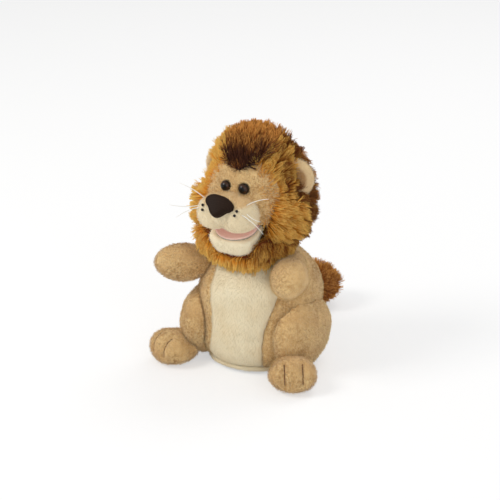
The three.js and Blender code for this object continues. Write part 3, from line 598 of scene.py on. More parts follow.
def pressed(ob, path, width, depth):  # a groove along a line of points, where a seam pulls the cloth in
    points, normals = coordinates(ob), vertexNormals(ob)
    near = distanceTo(points, path)
    setCoordinates(ob, points - normals * (depth * bell(near, 0, width))[:, None])


def swell(pieces, scale=10.0, pressure=5.0, frames=20, cap=0.0016):
    # Cloth under pressure, ten times life size, all pieces in one run; then each point moves by at most cap
    joined = bmesh.new()
    for ob in pieces:
        joined.from_mesh(ob.data)
    cloth = fromShape("swelling", joined)
    cloth.data.transform(Matrix.Scale(scale, 4))
    modifier = cloth.modifiers.new("cloth", "CLOTH")
    modifier.settings.use_pressure = True
    modifier.settings.uniform_pressure_force = pressure
    modifier.settings.effector_weights.gravity = 0
    modifier.point_cache.frame_start, modifier.point_cache.frame_end = 1, frames
    for step in range(1, frames + 1):
        context.scene.frame_set(step)
    result = coordinates(cloth.evaluated_get(context.evaluated_depsgraph_get())) / scale
    context.scene.frame_set(1)
    bpy.data.objects.remove(cloth)
    start = 0
    for ob in pieces:
        rest = coordinates(ob)
        move = result[start:start + len(rest)] - rest
        far = np.linalg.norm(move, axis=1)
        move *= np.minimum(1, cap / np.maximum(far, 1e-9))[:, None]
        setCoordinates(ob, rest + move)
        start += len(rest)


coats = {
    "plush": {"Density": 0.9e6, "Length": 0.0022, "Length Spread": 0.35, "Width": 0.0001, "Lean": 1.0, "Jitter": 0.5,
              "Curl": 0.25, "Sag": 0.0, "Clump Size": 0.0018, "Clump Pull": 0.25, "Clump Spread": 0.3,
              "Tone Spread": 0.3, "Patch Size": 0.02, "Patch Spread": 1.2, "Segments": 1},
    "long": {"Density": 1.5e6, "Length": 0.015, "Length Spread": 0.4, "Width": 0.00021, "Lean": 1.1, "Jitter": 0.14,
             "Curl": 0.25, "Sag": 0.05, "Clump Size": 0.008, "Clump Pull": 0.45, "Clump Spread": 0.25,
             "Tone Spread": 0.5, "Patch Size": 0.007, "Patch Spread": 1.3, "Segments": 3},
}
resting = {"bareUnder": 0.0032, "flatUnder": 0.002, "flatOver": 0.007}  # heights where hair meets the floor


class Skin:  # what a coat's settings are worked out from; x, y and z are in the head's own frame
    def __init__(self, ob):
        self.points, self.normals = coordinates(ob), vertexNormals(ob)
        self.inHead, self.normalsInHead = inHead(self.points), inHead(self.normals)
        self.x, self.y, self.z = self.inHead.T
        if "form" in ob.data.attributes:  # kept by sunk
            self.form = gathered(ob.data.attributes["form"].data, "value", 1)


def giveCoat(ob, kind, material, seed, comb, reach=1.0, cover=1.0, shade=0.5, **changes):
    skin = Skin(ob)
    values = {name: value(skin) if callable(value) else np.full(len(skin.z), float(value))
              for name, value in (("reach", reach), ("cover", cover), ("shade", shade))}
    grounded = (skin.z < resting["bareUnder"]) & (skin.normals[:, 2] < -0.3)
    values["cover"] = np.where(grounded, 0.0, values["cover"])
    way = comb(skin)
    way = way - (way * skin.normals).sum(1)[:, None] * skin.normals  # hair lies along the skin
    clear = ramp(skin.z, resting["flatUnder"], resting["flatOver"])
    way[:, 2] *= np.where(way[:, 2] < 0, clear, 1)  # and not into the floor
    values["comb"] = way
    for name, value in values.items():
        keepOn(ob, name, value)
    grown(ob, coatNodes, {**coats[kind], **changes, "Seed": seed, "Material": material})
    for name in ("comb", "reach", "cover", "shade", "tone", "along", "bend", "strand"):
        if name in ob.data.attributes:
            ob.data.attributes.remove(ob.data.attributes[name])
    return onFloor(ob, 0.0002)


def tubeAlong(name, path, radius, around, taper):
    path = [Vector(p) for p in path]
    points, faces = [], []
    side = None
    for i, p in enumerate(path):
        way = (path[min(i + 1, len(path) - 1)] - path[max(i - 1, 0)]).normalized()
        side = way.orthogonal().normalized() if side is None else (side - way * side.dot(way)).normalized()
        other = way.cross(side)
        r = radius * taper(i / (len(path) - 1))
        for k in range(around):
            angle = 2 * math.pi * k / around
            points.append(p + (side * math.cos(angle) + other * math.sin(angle)) * r)
    for i in range(len(path) - 1):
        for k in range(around):
            n = (k + 1) % around
            faces.append((i * around + k, i * around + n, (i + 1) * around + n, (i + 1) * around + k))
    faces.append(tuple(reversed(range(around))))
    faces.append(tuple(range((len(path) - 1) * around, len(path) * around)))
    return fromPoints(name, points, faces)


# The torso's form: a spline through the same rows as the fitted shell

torso = {
    "rows": [(8, 47, 45, 0), (21.1, 54.4, 51.5, 1.2), (42.1, 57.9, 54.9, 4), (63.2, 58.5, 57.1, 7.6),
             (81.9, 57.3, 56, 8), (97.1, 49.1, 46.5, 6.8), (107.6, 39.2, 38.1, 4), (117, 28.6, 28.6, 0)],
    "bib": [(0, -6, 38), (15.2, -4, 35), (30.4, -2, 32), (46.8, 0, 32.5), (60.8, 2.5, 36), (74.9, 4.5, 41),
            (88.9, 6, 46), (105.3, 4, 55), (128.7, 3, 60)],  # height, middle and half width in degrees
    "from": 8.2, "to": 116.4, "radius": 50, "gap": 0.2,  # the skin's height, and how far each seam is left open
    "skin": 2.4, "seamWidth": 2.2, "seamDip": 1.5, "endWidth": 1.6, "endDip": 1.2, "folds": 1.5,
}
torsoRows = np.array(torso["rows"], float)
glove = {"from": 9, "height": 106, "inside": 3.75, "thick": 0.7, "rumple": 0.35}


def torsoRow(z):
    rows = torsoRows
    i = int(np.clip(np.searchsorted(rows[:, 0], z) - 1, 0, len(rows) - 2))
    slope = [(rows[min(k + 1, len(rows) - 1)] - rows[max(k - 1, 0)]) for k in (i, i + 1)]
    slope = [s[1:] / s[0] for s in slope]
    run = rows[i + 1, 0] - rows[i, 0]
    t = (z - rows[i, 0]) / run
    a, b = rows[i, 1:], rows[i + 1, 1:]
    return ((2 * t**3 - 3 * t**2 + 1) * a + (t**3 - 2 * t**2 + t) * run * slope[0]
            + (3 * t**2 - 2 * t**3) * b + (t**3 - t**2) * run * slope[1])


def torsoPoint(angle, z, out):  # angle 0 is straight ahead, and it grows towards the puppet's left
    width, depth, back = torsoRow(z)
    width, depth = width + out, depth + out
    s, c = math.sin(angle), -math.cos(angle)
    a, b, k = (s / width) ** 2 + (c / depth) ** 2, -2 * c * back / depth**2, (back / depth) ** 2 - 1
    r = (-b + math.sqrt(max(b * b - 4 * a * k, 0))) / (2 * a)
    return Vector((r * s, r * c, z))


def bibSeams(z):  # the bib's middle and half width, round from straight ahead
    heights, middles, halves = np.array(torso["bib"]).T
    return math.radians(np.interp(z, heights, middles)), math.radians(np.interp(z, heights, halves))


def torsoOut(points):  # how far points stand outside the torso's skin, in metres
    rows = np.array([torsoRow(min(max(z * 1000, 8), 117)) for z in points[:, 2]]) / 1000
    e = np.hypot(points[:, 0] / rows[:, 0], (points[:, 1] - rows[:, 2]) / rows[:, 1])
    return (e - 1) * (rows[:, 0] + rows[:, 1]) / 2


def bodyFolds(angle, z):  # broad soft unevenness, and creases that run in from the arms and haunches
    at = Vector((math.sin(angle) * 2.2, -math.cos(angle) * 2.2, z / 30))
    fold = noise.noise(at * 1.1) + 0.45 * noise.noise(at * 2.7 + Vector((4, 1, 7)))
    for side in (1, -1):  # a crease runs forward from over each haunch towards the bib
        off = (z - 71 - 7 * math.cos((angle - side * 1.25) * 1.6)) / 3.2
        fold -= 0.9 * math.exp(-off * off) * math.exp(-(((angle - side * 1.2) / 0.5) ** 2))
        pull = (z - 98 + (angle * side - 1.0) * 6) / 4
        fold -= 0.7 * math.exp(-pull * pull) * math.exp(-(((angle - side * 0.75) / 0.35) ** 2))
    return fold * torso["folds"] * min(1, (z - 6) / 20) * min(1, max(117 - z, 0) / 12)


def shellGrid(name, place, across, up, thickness, closed=False):
    # place(u, v, depth) gives a point of the skin at depth 0, or inside it; depth is in mm
    columns = across if closed else across + 1
    points = []
    for depth in (0, thickness):
        for j in range(up + 1):
            points += [place(i / across, j / up, depth) / 1000 for i in range(columns)]
    half = columns * (up + 1)
    faces = []
    for j in range(up):
        for i in range(across):
            a, b = j * columns + i, j * columns + (i + 1) % columns
            faces.append((a, b, b + columns, a + columns))
            faces.append((half + a, half + a + columns, half + b + columns, half + b))
    for i in range(across):
        for row, flip in ((0, False), (up, True)):
            a, b = row * columns + i, row * columns + (i + 1) % columns
            faces.append((a, half + a, half + b, b) if not flip else (a, b, half + b, half + a))
    if not closed:
        for j in range(up):
            for column, flip in ((0, True), (across, False)):
                a, b = j * columns + column, (j + 1) * columns + column
                faces.append((a, half + a, half + b, b) if not flip else (a, b, half + b, half + a))
    return fromPoints(name, points, faces)


def bodySkin(name, covers, across, up):
    low, high, radius = torso["from"], torso["to"], torso["radius"]

    def place(u, v, depth):
        z = low + (high - low) * v
        middle, half = bibSeams(z)
        gap = torso["gap"] / radius
        start, end = middle - half + gap, middle + half - gap
        if covers == "back":
            start, end = middle + half + gap, middle - half + 2 * math.pi - gap
        angle = start + (end - start) * u
        toSeam = min(angle - start, end - angle) * radius
        dip = torso["seamDip"] * math.exp(-((toSeam / torso["seamWidth"]) ** 2))
        dip += torso["endDip"] * math.exp(-((min(z - low, high - z) / torso["endWidth"]) ** 2))
        turnedAngle = (angle + math.pi) % (2 * math.pi) - math.pi
        out = bodyFolds(turnedAngle, z) - dip if depth == 0 else -max(depth, torso["skin"])
        return torsoPoint(angle, z, out)

    return shellGrid(name, place, across, up, torso["skin"])


def gloveLining():
    def place(u, v, depth):
        z, angle = glove["from"] + glove["height"] * v, 2 * math.pi * u
        at = Vector((math.sin(angle) * 3, math.cos(angle) * 3, z / 16))
        return torsoPoint(angle, z, -glove["inside"] - depth - glove["rumple"] * noise.noise(at * 2.3))

    return shellGrid("gloveLining", place, 72, 44, glove["thick"], closed=True)


def outwards(skin):  # 1 on the outer side of a skin round the upright axis
    away = (skin.normals * skin.points)[:, :2].sum(1)
    return (away > -0.1 * np.hypot(skin.points[:, 0], skin.points[:, 1])).astype(float)


def combedTo(*way):
    return lambda skin: np.tile(np.array(way, float) / np.linalg.norm(way), (len(skin.z), 1))


def clearOfBody(skin, near=0.0008):
    return (torsoOut(skin.points) > near).astype(float)


bodyPlush = bodySkin("bodyPlush", "back", 130, 70)
bellyBib = bodySkin("bellyBib", "bib", 46, 70)
giveCoat(bodyPlush, "plush", tanPile, 11, comb=combedTo(0, 0.1, -1), cover=outwards, Density=0.75e6)
giveCoat(bellyBib, "plush", creamPile, 12, comb=combedTo(0, 0, -1), cover=outwards, shade=0.55, Length=0.0021)
gloveCloth = dressed(gloveLining(), liningCloth)
hemRoll = lumps(softCopy("hemRoll", 0.0012, 3, "hem_band"), 0.006, 0.0005)
giveCoat(hemRoll, "plush", creamPile, 13, comb=combedTo(0, 0, -1), shade=0.45, Length=0.0016, Density=1.3e6)
print("torso made")


# Stuffed limbs: voxel remesh, cloth under pressure, then the coat

limbs = {
    "haunchLeft": ("haunch_left",), "haunchRight": ("haunch_right",),
    "footLeft": ("hip_left", "foot_left"), "footRight": ("hip_right", "foot_right"),
    "armLeft": ("shoulder_left", "arm_left"), "armRight": ("shoulder_right", "arm_right"),
}
limb = {name: softCopy(name, 0.0021, 5, *nodes) for name, nodes in limbs.items()}
swell(list(limb.values()))
print("limbs swelled")

# The middle of each foot in mm, the way each arm points and where it is sewn on
feet = {"left": (59, -50), "right": (-64, -41)}
arms = {"left": Vector((20, -52, 3)).normalized(), "right": Vector((-34, -24, 4)).normalized()}
shoulders = {"left": mm(39.5, -10, 105.9), "right": mm(-41, -10, 93)}
splay = math.radians(28)
toe = {"offset": 8.5, "from": 56, "to": -10, "width": 0.0026, "depth": 0.0023, "bare": 0.0009}
# The left arm against its solid: fuller at its root, slimmer at its end, and hanging lower
drawnArm = {"root": 1.05, "less": 0.2, "length": 0.06, "hang": math.radians(11)}


def footAxes(side):
    sign = sides[side]
    forward = Vector((sign * math.sin(splay), -math.cos(splay), 0))
    return forward, Vector((math.cos(splay), sign * math.sin(splay), 0)), mm(*feet[side], 16)


def toePath(ob, side, offset):
    forward, across, centre = footAxes(side)
    graph = context.evaluated_depsgraph_get()
    found = []
    for k in range(19):
        angle = math.radians(toe["from"] + (toe["to"] - toe["from"]) * k / 18)
        way = forward * math.cos(angle) + Vector((0, 0, math.sin(angle)))
        hit, place, _, _ = ob.ray_cast(centre + across * offset / 1000 + forward * 0.006, way, depsgraph=graph)
        if hit:
            found.append(place)
    return found


def shapeArm(arm, side):
    root, aim = np.array(shoulders[side]), np.array(arms[side])
    points = coordinates(arm) - root
    along = points @ aim
    middle = along[:, None] * aim
    full = drawnArm["root"] - drawnArm["less"] * np.clip(along / drawnArm["length"], 0, 1) ** 2
    setCoordinates(arm, middle + (points - middle) * full[:, None])
    arm.data.transform(Matrix.Translation(shoulders[side]) @ Matrix.Rotation(drawnArm["hang"], 4, "X"))


toePaths = {}
for side, sign in sides.items():
    foot, arm, haunch = (limb[name + side.capitalize()] for name in ("foot", "arm", "haunch"))
    if side == "left":
        shapeArm(arm, side)
    for piece, seed in ((foot, 3.1), (arm, 5.7), (haunch, 8.2)):
        onFloor(lumps(lumps(piece, 0.017, 0.0012, seed + sign), 0.0042, 0.0004, seed))
    paths = [toePath(foot, side, k * sign * toe["offset"]) for k in (-1, 1)]
    for path in paths:
        pressed(foot, path, toe["width"], toe["depth"])
    toePaths[side] = [toePath(foot, side, k * sign * toe["offset"]) for k in (-1, 1)]

    def besideToes(skin, paths=paths):
        near = np.minimum(distanceTo(skin.points, paths[0]), distanceTo(skin.points, paths[1]))
        return clearOfBody(skin) * (near > toe["bare"])

    for piece, seed, way, cover, changes in (
            (foot, 20, footAxes(side)[0], besideToes, {"shade": 0.5, "Length": 0.0023}),
            # the left arm's lighter and the right arm's darker tone are painted light and painted shade on the same tan
            # plush
            (arm, 30, arms[side], clearOfBody, {"shade": 0.57 + 0.15 * sign}),
            (haunch, 40, (0, 0.3, -1), clearOfBody, {"shade": 0.5})):
        giveCoat(piece, "plush", tanPile, seed + sign, comb=combedTo(*way), cover=cover, **changes)
print("limbs made")


# Toe stitches: short laps of thread, laid end over end along each line

def stitchTree():
    n, given, result = newGroup("lappedStitches", "GeometryNodeTree", {
        "Geometry": "Geometry", "Pitch": 0.0016, "Lap": 0.0026, "Thread": 0.0006, "Material": "Material",
    }, {"Geometry": "Geometry"})
    line = n.geo("MeshToCurve", {"Mesh": given["Geometry"]})
    line = n.geo("ResampleCurve", {"Curve": line, "Length": given["Pitch"]}, mode="LENGTH")
    along = n.geo("InputTangent")
    size = n.combined(given["Thread"], given["Thread"], given["Lap"])
    bead = n.geo("MeshUVSphere", {"Segments": 8, "Rings": 6, "Radius": 1.0})
    laps = n.instanced(line, bead, along, size)
    setInputs(result, {"Geometry": n.finished(laps, given["Material"])})
    return n.tree


stitchNodes = stitchTree()
toeStitches = {}
for side in sides:
    points = [p for path in toePaths[side] for p in path]
    mesh = bpy.data.meshes.new("toeStitches")
    first = len(toePaths[side][0])
    edges = [(i, i + 1) for i in range(len(points) - 1) if i != first - 1]
    mesh.from_pydata([tuple(p) for p in points], edges, [])
    toeStitches[side] = grown(addObject("toeStitches" + side.capitalize(), mesh), stitchNodes,
                              {"Pitch": 0.0015, "Lap": 0.00125, "Thread": 0.00062, "Material": brownThread})


# Tail

tail = {"from": 0.110, "over": 0.012, "longer": 0.009, "tuft": Vector((0.003, 0.1424, 0.0215)), "smaller": 0.75}
tailTube = lumps(softCopy("tailTube", 0.0016, 4, "tail_root", "tail"), 0.011, 0.0006)
points = coordinates(tailTube)  # its end goes well into the tuft
points[:, 1] += tail["longer"] * np.clip((points[:, 1] - tail["from"]) / tail["over"], 0, 1)
setCoordinates(tailTube, points)
giveCoat(onFloor(tailTube), "plush", tanPile, 51, comb=combedTo(0, 1, -0.1), cover=clearOfBody, shade=0.45,
         Length=0.0022)
tuftFurs = softCopy("tailTuft", 0.0024, 3, "tail_tuft")
tuftFurs.data.transform(Matrix.Translation(tail["tuft"]) @ Matrix.Scale(tail["smaller"], 4)
                        @ Matrix.Translation(-tail["tuft"]))
giveCoat(onFloor(tuftFurs), "long", tuftFur, 52, comb=combedTo(0, 1, 0.25), Density=1.9e6, Length=0.0115,
         Lean=0.55, Sag=0.0, Jitter=0.35, reach=lambda skin: np.where(skin.normals[:, 2] < -0.3, 0.6, 1.0))
print("tail made")


# Head

mane = {  # ellipsoids that the fur's outline follows: middle and radii in mm
    "around": [((0, 0, 166), (55, 50, 62)), ((0, -16, 150), (60, 27, 62))],
    "forelock": [((0, -3, 171), (54, 48, 61.5))], "beard": [((0, -18, 131), (54, 40, 31))],
}
headCore = (0, -6, 166), (42, 38, 48)
earPlace = np.array((0.046, -0.010, 0.187))


def ellipsoidShare(points, centre, radii):
    return np.linalg.norm((points - np.array(centre) / 1000) / (np.array(radii) / 1000), axis=1)


def unit(vectors):
    return vectors / np.maximum(np.linalg.norm(vectors, axis=1), 1e-6)[:, None]


def headComb(y=0.0, z=0.0, radial=1.0, centre=166):  # away from a line through the head, with a lean
    def comb(skin):
        way = np.stack([skin.x, np.zeros(len(skin.x)), skin.z - centre / 1000], 1)
        return outOfHead(unit(radial * unit(way) + np.array((0, y, z))))
    return comb


def sunk(ob, form, depth):  # the outer skin goes in, so that the hair's tips stand where the outline is
    points = coordinates(ob)
    at = inHead(points)
    shares = np.array([ellipsoidShare(at, *shape) for shape in mane[form]])
    weights = np.exp(-20 * (shares - shares.min(0)))
    middles = np.array([shape[0] for shape in mane[form]]) / 1000
    away = at - (weights.T @ middles) / weights.sum(0)[:, None]
    away /= np.linalg.norm(away, axis=1)[:, None]
    push = depth * ramp(shares.min(0), 0.84, 0.1)
    setCoordinates(ob, points - outOfHead(away) * push[:, None])
    keepOn(ob, "form", shares.min(0))
    return ob


def drawnIn(ob, sign):  # the front edge of the mane lies over the rim of the face
    x, y, z = inHead(coordinates(ob)).T
    share = ramp(-y, 0.018, 0.008) * ramp(z, 0.155, 0.015) * ramp(-z, -0.214, 0.01)
    cheek = ramp(-y, 0.018, 0.006) * bell(z, 0.158, 0.008)
    x = x - sign * (share * (0.0042 + 0.003 * bell(z, 0.194, 0.010)) + 0.0045 * cheek)
    y = y - (share * 0.001 + cheek * 0.0012)
    setCoordinates(ob, outOfHead(np.stack([x, y, z], 1)))
    return ob


def nearEar(skin, size):
    away = np.stack([np.abs(skin.x), skin.y, skin.z], 1) - earPlace
    return bell(np.linalg.norm(away, axis=1), 0, size)


def maneCover(skin):
    wall = (skin.form > 0.75) & (skin.normalsInHead[:, 1] < -0.15)
    throat = (skin.form > 0.55) & (skin.y < -0.018) & (skin.z < 0.160)
    outer = (skin.form > 0.925) | ((skin.form > 0.75) & (nearEar(skin, 0.02) > 0.3))
    return np.where(outer, 1.0, np.where(wall | throat, 0.85, 0.0))


def inThroat(skin):
    return (skin.form < 0.9) & (skin.z < 0.158)


def maneReach(skin):
    low = ramp(skin.z, 0.138, 0.04, 0.5)
    brow = 1 - 0.25 * ramp(skin.z, 0.18, 0.015) * ramp(-skin.y, 0.018, 0.01)
    part = np.where(skin.form > 0.925, 1.0, np.where(inThroat(skin), 1.5, 0.8))
    return part * low * brow * (1 - 0.7 * nearEar(skin, 0.021))


# The brown band and the dark rim behind the ear are the fur's own colours. The lighter tone on the mane's right side (x
# below 0) is painted light, and the darker tone in the throat is partly dark fur, partly painted shade under the jaw.
def maneToneAndPaintedLight(skin):
    band = bell(skin.y, -0.015, 0.008) * np.clip((skin.z - 0.165) / 0.02, 0.2, 1)
    rim = ramp(skin.y, np.interp(skin.z, (0.145, 0.18, 0.19), (-0.019, -0.011, -0.003)), 0.004)
    return np.where(skin.x > 0, 0.86 - 0.62 * band - 0.85 * rim, 1.1 - 0.5 * rim) - 0.7 * inThroat(skin)


def maneComb(skin):
    return headComb(y=0.12, z=-0.05)(skin) * 1.35


manes = {}
for side, sign in sides.items():
    piece = drawnIn(sunk(softCopy("mane" + side.capitalize(), 0.0025, 4, "mane_" + side), "around", 0.006), sign)
    manes[side] = giveCoat(piece, "long", goldenFur, 60 + sign, comb=maneComb, cover=maneCover, reach=maneReach,
                           shade=maneToneAndPaintedLight, Length=0.0145)


def beardCover(skin):
    front = (skin.points[:, 1] < -0.02) & (skin.z > 0.13)
    return np.where(skin.form > 0.88, 1, np.where(front, 0.7, 0.15))


def beardBrownAndShadeUnderJaw(skin):  # darker high up on its left side, under the jaw: partly brown fur, partly painted shade
    return 1.0 - 0.6 * ramp(skin.x, 0.006, 0.02) * ramp(skin.z, 0.112, 0.012)


maneBack = sunk(softCopy("maneBack", 0.003, 4, "mane_back"), "around", 0.005)
forelock = sunk(softCopy("forelockFur", 0.0022, 3, "forelock"), "forelock", 0.0065)
beard = sunk(softCopy("beard", 0.0022, 4, "mane_collar"), "beard", 0.0075)
giveCoat(maneBack, "long", darkFur, 63, comb=headComb(y=0.3, z=-0.9, radial=0.5),
         cover=lambda skin: (skin.form > 0.93) | (skin.normals[:, 2] < -0.8), Length=0.0115, Density=1.2e6, Segments=2,
         **{"Clump Pull": 0.25, "Clump Spread": 0.35, "Length Spread": 0.5})
giveCoat(forelock, "long", darkFur, 64, comb=headComb(y=0.45, z=0.5, radial=0.5), cover=lambda skin: skin.form > 0.92,
         shade=lambda skin: 0.06 + 0.94 * ramp(skin.z, 0.209, 0.016), Length=0.0125, Density=1.8e6,
         reach=lambda skin: ramp(skin.z, 0.198, 0.03, 0.42), **{"Clump Size": 0.005})
giveCoat(beard, "long", goldenFur, 65, comb=headComb(z=-1.0, y=-0.2, radial=0.5), cover=beardCover, shade=beardBrownAndShadeUnderJaw,
         Length=0.0105, Density=1.5e6, Sag=0.15, reach=lambda skin: 1 - 0.45 * ramp(skin.x, 0.016, 0.02),
         **{"Clump Size": 0.006})
print("mane made")

stuffing = dressed(lumps(softCopy("headStuffing", 0.003, 2, "head_stuffing"), 0.012, 0.0004), stuffingFibre)
facePlush = softCopy("facePlush", 0.0012, 4, "face_panel")
muzzle = softCopy("muzzlePlush", 0.0013, 4, "muzzle")


def outOfCore(skin, share=1.055):  # only the outer side of the face's skin
    return ellipsoidShare(skin.inHead, *headCore) > share


def muzzleCover(skin):
    return outOfCore(skin, 1.08) & (skin.z > 0.1525)


def muzzleShade(skin):  # tan over the bridge, cream on the two lobes
    return 0.82 - 0.62 * ramp(skin.z - 0.25 * np.maximum(np.abs(skin.x) - 0.016, 0), 0.1725, 0.003)


giveCoat(facePlush, "plush", tanPile, 71, comb=headComb(z=0.3, radial=0.8, centre=176), cover=outOfCore, shade=0.55,
         Length=0.002)
giveCoat(muzzle, "plush", muzzlePile, 72, comb=headComb(y=0.7, radial=0.6, centre=168), cover=muzzleCover,
         shade=muzzleShade, Length=0.0016, **{"Tone Spread": 0.22, "Patch Spread": 0.16})
nose = softCopy("noseCover", 0.0008, 5, "nose")
noseForm = {"middle": np.array((0, -0.0725, 0.1772)), "half": 0.0146, "back": 0.0012, "down": 0.0022, "askew": 0.13}
at = inHead(coordinates(nose)) - noseForm["middle"]
wrap = (at[:, 0] / noseForm["half"]) ** 2  # its corners wrap back over the muzzle, and it sits a little askew
at += np.stack([0 * wrap, noseForm["back"] * wrap, -noseForm["down"] * wrap - noseForm["askew"] * at[:, 0]], 1)
setCoordinates(nose, outOfHead(at + noseForm["middle"]))
dressed(nose, noseSatin)

ear = {"hollow": (0.038, 0.001, 0.187), "from": 0.012, "over": 0.004}
eye = {"place": (0.0093, -0.0426, 0.1853), "radius": 0.005}
ears, eyes = {}, {}
for side, sign in sides.items():
    piece = softCopy("ear" + side.capitalize(), 0.0011, 4, "ear_" + side)
    x, y, z = ear["hollow"]

    def earRimAndHollowShade(skin, centre=np.array(headPlace((sign * x, y, z)))):  # a pale rim round a darker hollow: painted light on the rim and painted shade in the cupped hollow
        return 0.12 + 0.88 * ramp(np.linalg.norm(skin.points - centre, axis=1), ear["from"], ear["over"])

    ears[side] = giveCoat(piece, "plush", earPile, 80 + sign, comb=headComb(z=0.4), shade=earRimAndHollowShade, Length=0.0019)

for side, sign in sides.items():
    x, y, z = eye["place"]
    shape = bmesh.new()
    bmesh.ops.create_uvsphere(shape, u_segments=40, v_segments=28, radius=eye["radius"])
    bmesh.ops.rotate(shape, verts=shape.verts, matrix=Matrix.Rotation(math.radians(90), 3, "X"))
    bmesh.ops.translate(shape, verts=shape.verts, vec=(sign * x, y, z))
    bmesh.ops.rotate(shape, verts=shape.verts, matrix=Matrix.Rotation(headTurn, 3, "Z"))
    ball = eyes[side] = dressed(fromShape("eye" + side.capitalize(), shape), eyeGloss)
    at = inHead(coordinates(ball)) - np.array((sign * x, y, z))
    keepOn(ball, "fromMiddle", np.where(at[:, 1] > 0, 1.0, np.hypot(at[:, 0], at[:, 2]) / eye["radius"]))


lobe = {"spread": 12, "radii": (17.5, 19, 17), "forward": 55, "up": 163.5}
# Degrees aside and up on the lobe, the way it points and its bow; for a dot the degrees alone
whiskerRows = [(65, 52, (0.87, -0.12, 0.4), 1.5), (56, 25, (0.8, -0.55, 0.05), -1.5), (37, 24, (0.84, -0.12, -0.45), 2)]
whiskerLine = {"length": 0.028, "radius": 0.00042}
dotRows = [(22, 34), (16, 21)]


def lobePoint(sign, aside, up, out=0.0):
    a, u = math.radians(aside), math.radians(up)
    way = (sign * math.sin(a) * math.cos(u), -math.cos(a) * math.cos(u), math.sin(u))
    centre = (sign * lobe["spread"], -lobe["forward"], lobe["up"])
    return Vector(c + v * (r + out) for c, v, r in zip(centre, way, lobe["radii"])) / 1000


whiskers, dots = {}, {}
for side, sign in sides.items():
    for row, (aside, up, (x, y, z), bow) in enumerate(whiskerRows, 1):
        aim = Vector((sign * x, y, z)).normalized() * whiskerLine["length"]
        root = lobePoint(sign, aside, up, -1)
        path = [headPlace(root + aim * t + mm(0, 0, 4 * bow * t * (1 - t))) for t in np.linspace(0, 1, 15)]
        ob = tubeAlong(f"whisker{side.capitalize()}{row}", path, whiskerLine["radius"], 6, lambda t: 1 - 0.5 * t**2)
        whiskers[side, row] = dressed(ob, whiskerNylon)
    for row, (aside, up) in enumerate(dotRows, 1):
        shape = bmesh.new()
        bmesh.ops.create_icosphere(shape, subdivisions=3, radius=0.0013)
        for v in shape.verts:
            v.co *= 1 + 0.12 * math.sin(v.co.x * 6000) * math.cos(v.co.z * 5200)
        bmesh.ops.translate(shape, verts=shape.verts, vec=headPlace(lobePoint(sign, aside, up, 1.0)))
        dots[side, row] = dressed(fromShape(f"whiskerDot{side.capitalize()}{row}", shape), darkThread)
print("face made")


# Mouth, jaw and what stays as the CAD has it

upperCloth = lumps(softCopy("upperMouthCloth", 0.0005, 2, "upper_mouth_cloth"), 0.006, 0.00012)
lowerCloth = lumps(softCopy("lowerMouthCloth", 0.0005, 2, "lower_mouth_cloth"), 0.006, 0.00012, 2.0)
for ob in (upperCloth, lowerCloth):
    setCoordinates(ob, coordinates(ob) + vertexNormals(ob) * 0.0005)
    dressed(ob, mouthFelt)
jawPlush = softCopy("lowerJaw", 0.0013, 4, "lower_jaw")


def jawCover(skin):  # the outside of the jaw, below the lip
    return ((skin.inHead - np.array((0, -0.042, 0.134))) * skin.normalsInHead).sum(1) > 0.002


giveCoat(jawPlush, "plush", creamPile, 91, comb=headComb(z=-1, radial=0.3), cover=jawCover, shade=0.68, Length=0.0015,
         **{"Tone Spread": 0.3, "Patch Spread": 0.3})
# The neck's lining is dark brown where the other linings are tan: painted shade, so the gap between jaw and mane that
# shows it reads dark.
neckCloth = dressed(fineCopy("neckCloth", "neck_tube"), paintedShadeLining)
fingerCloth = dressed(fineCopy("fingerCloth", "finger_lining"), liningCloth)
thumbCloth = dressed(fineCopy("thumbCloth", "thumb_lining"), liningCloth)
kept = {"upper_mouth_board": stiffBoard, "lower_mouth_board": stiffBoard, "eye_washer_left": washerPlastic,
        "eye_washer_right": washerPlastic}
for node, material in kept.items():
    dressed(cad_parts[node], material)
print("mouth made")


# What each piece rides on, replaces and is made of

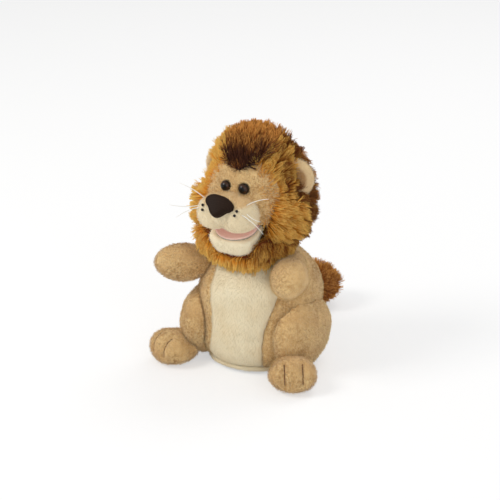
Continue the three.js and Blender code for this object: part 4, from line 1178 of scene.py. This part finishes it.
riding = {  # piece: body, slot and the nodes it stands for
    bodyPlush: "torso plush_tan body_shell", bellyBib: "torso plush_cream belly_bib",
    gloveCloth: "torso lining glove_lining", hemRoll: "torso plush_cream hem_band",
    limb["haunchLeft"]: "torso plush_tan haunch_left", limb["haunchRight"]: "torso plush_tan haunch_right",
    neckCloth: "neck lining neck_tube", stuffing: "head stuffing head_stuffing",
    fingerCloth: "head lining finger_lining", facePlush: "head plush_tan face_panel",
    muzzle: "head plush_cream muzzle", nose: "head satin_nose nose",
    upperCloth: "head mouth_cloth upper_mouth_cloth", forelock: "head fur_dark forelock",
    jawPlush: "jaw plush_cream lower_jaw", thumbCloth: "jaw lining thumb_lining",
    lowerCloth: "jaw mouth_cloth lower_mouth_cloth", tuftFurs: "tail fur_golden tail_tuft",
}
crossing = {  # what bends across a joint: its two bodies, slot and nodes, then where the bend starts and ends
    tailTube: ("torso tail plush_tan tail_root tail", (0, 0.05, 0.016), (0, 0.063, 0.015)),
    beard: ("neck head fur_golden mane_collar", (0, -0.03, 0.104), (0, -0.03, 0.128)),
    maneBack: ("neck head fur_dark mane_back", (0, 0.02, 0.114), (0, 0.02, 0.138)),
}
for side in sides:
    riding[manes[side]] = f"head fur_golden mane_{side}"
    riding[ears[side]] = f"head plush_tan ear_{side}"
    riding[eyes[side]] = f"head eye_gloss eye_{side}"
    riding[toeStitches[side]] = f"foot_{side} thread_brown toe_stitch_{side}_inner toe_stitch_{side}_outer"
    for row in (1, 2, 3):
        riding[whiskers[side, row]] = f"head whisker whisker_{side}_{row}"
    for row in (1, 2):
        riding[dots[side, row]] = f"head thread_dark whisker_dot_{side}_{row}"
    forward, _, centre = footAxes(side)
    root, aim = shoulders[side], arms[side]
    crossing[limb["foot" + side.capitalize()]] = (f"torso foot_{side} plush_tan hip_{side} foot_{side}",
                                                  centre - forward * 0.016, centre + forward * 0.002)
    crossing[limb["arm" + side.capitalize()]] = (f"torso arm_{side} plush_tan shoulder_{side} arm_{side}",
                                                 root - aim * 0.002, root + aim * 0.016)
for ob, words in riding.items():
    body, slot, *nodes = words.split()
    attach(ob, body)
    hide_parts(*nodes)
for ob, (words, start, end) in crossing.items():
    still, moving, slot, *nodes = words.split()
    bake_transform(ob, still, moving, start=tuple(start), end=tuple(end))
    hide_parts(*nodes)
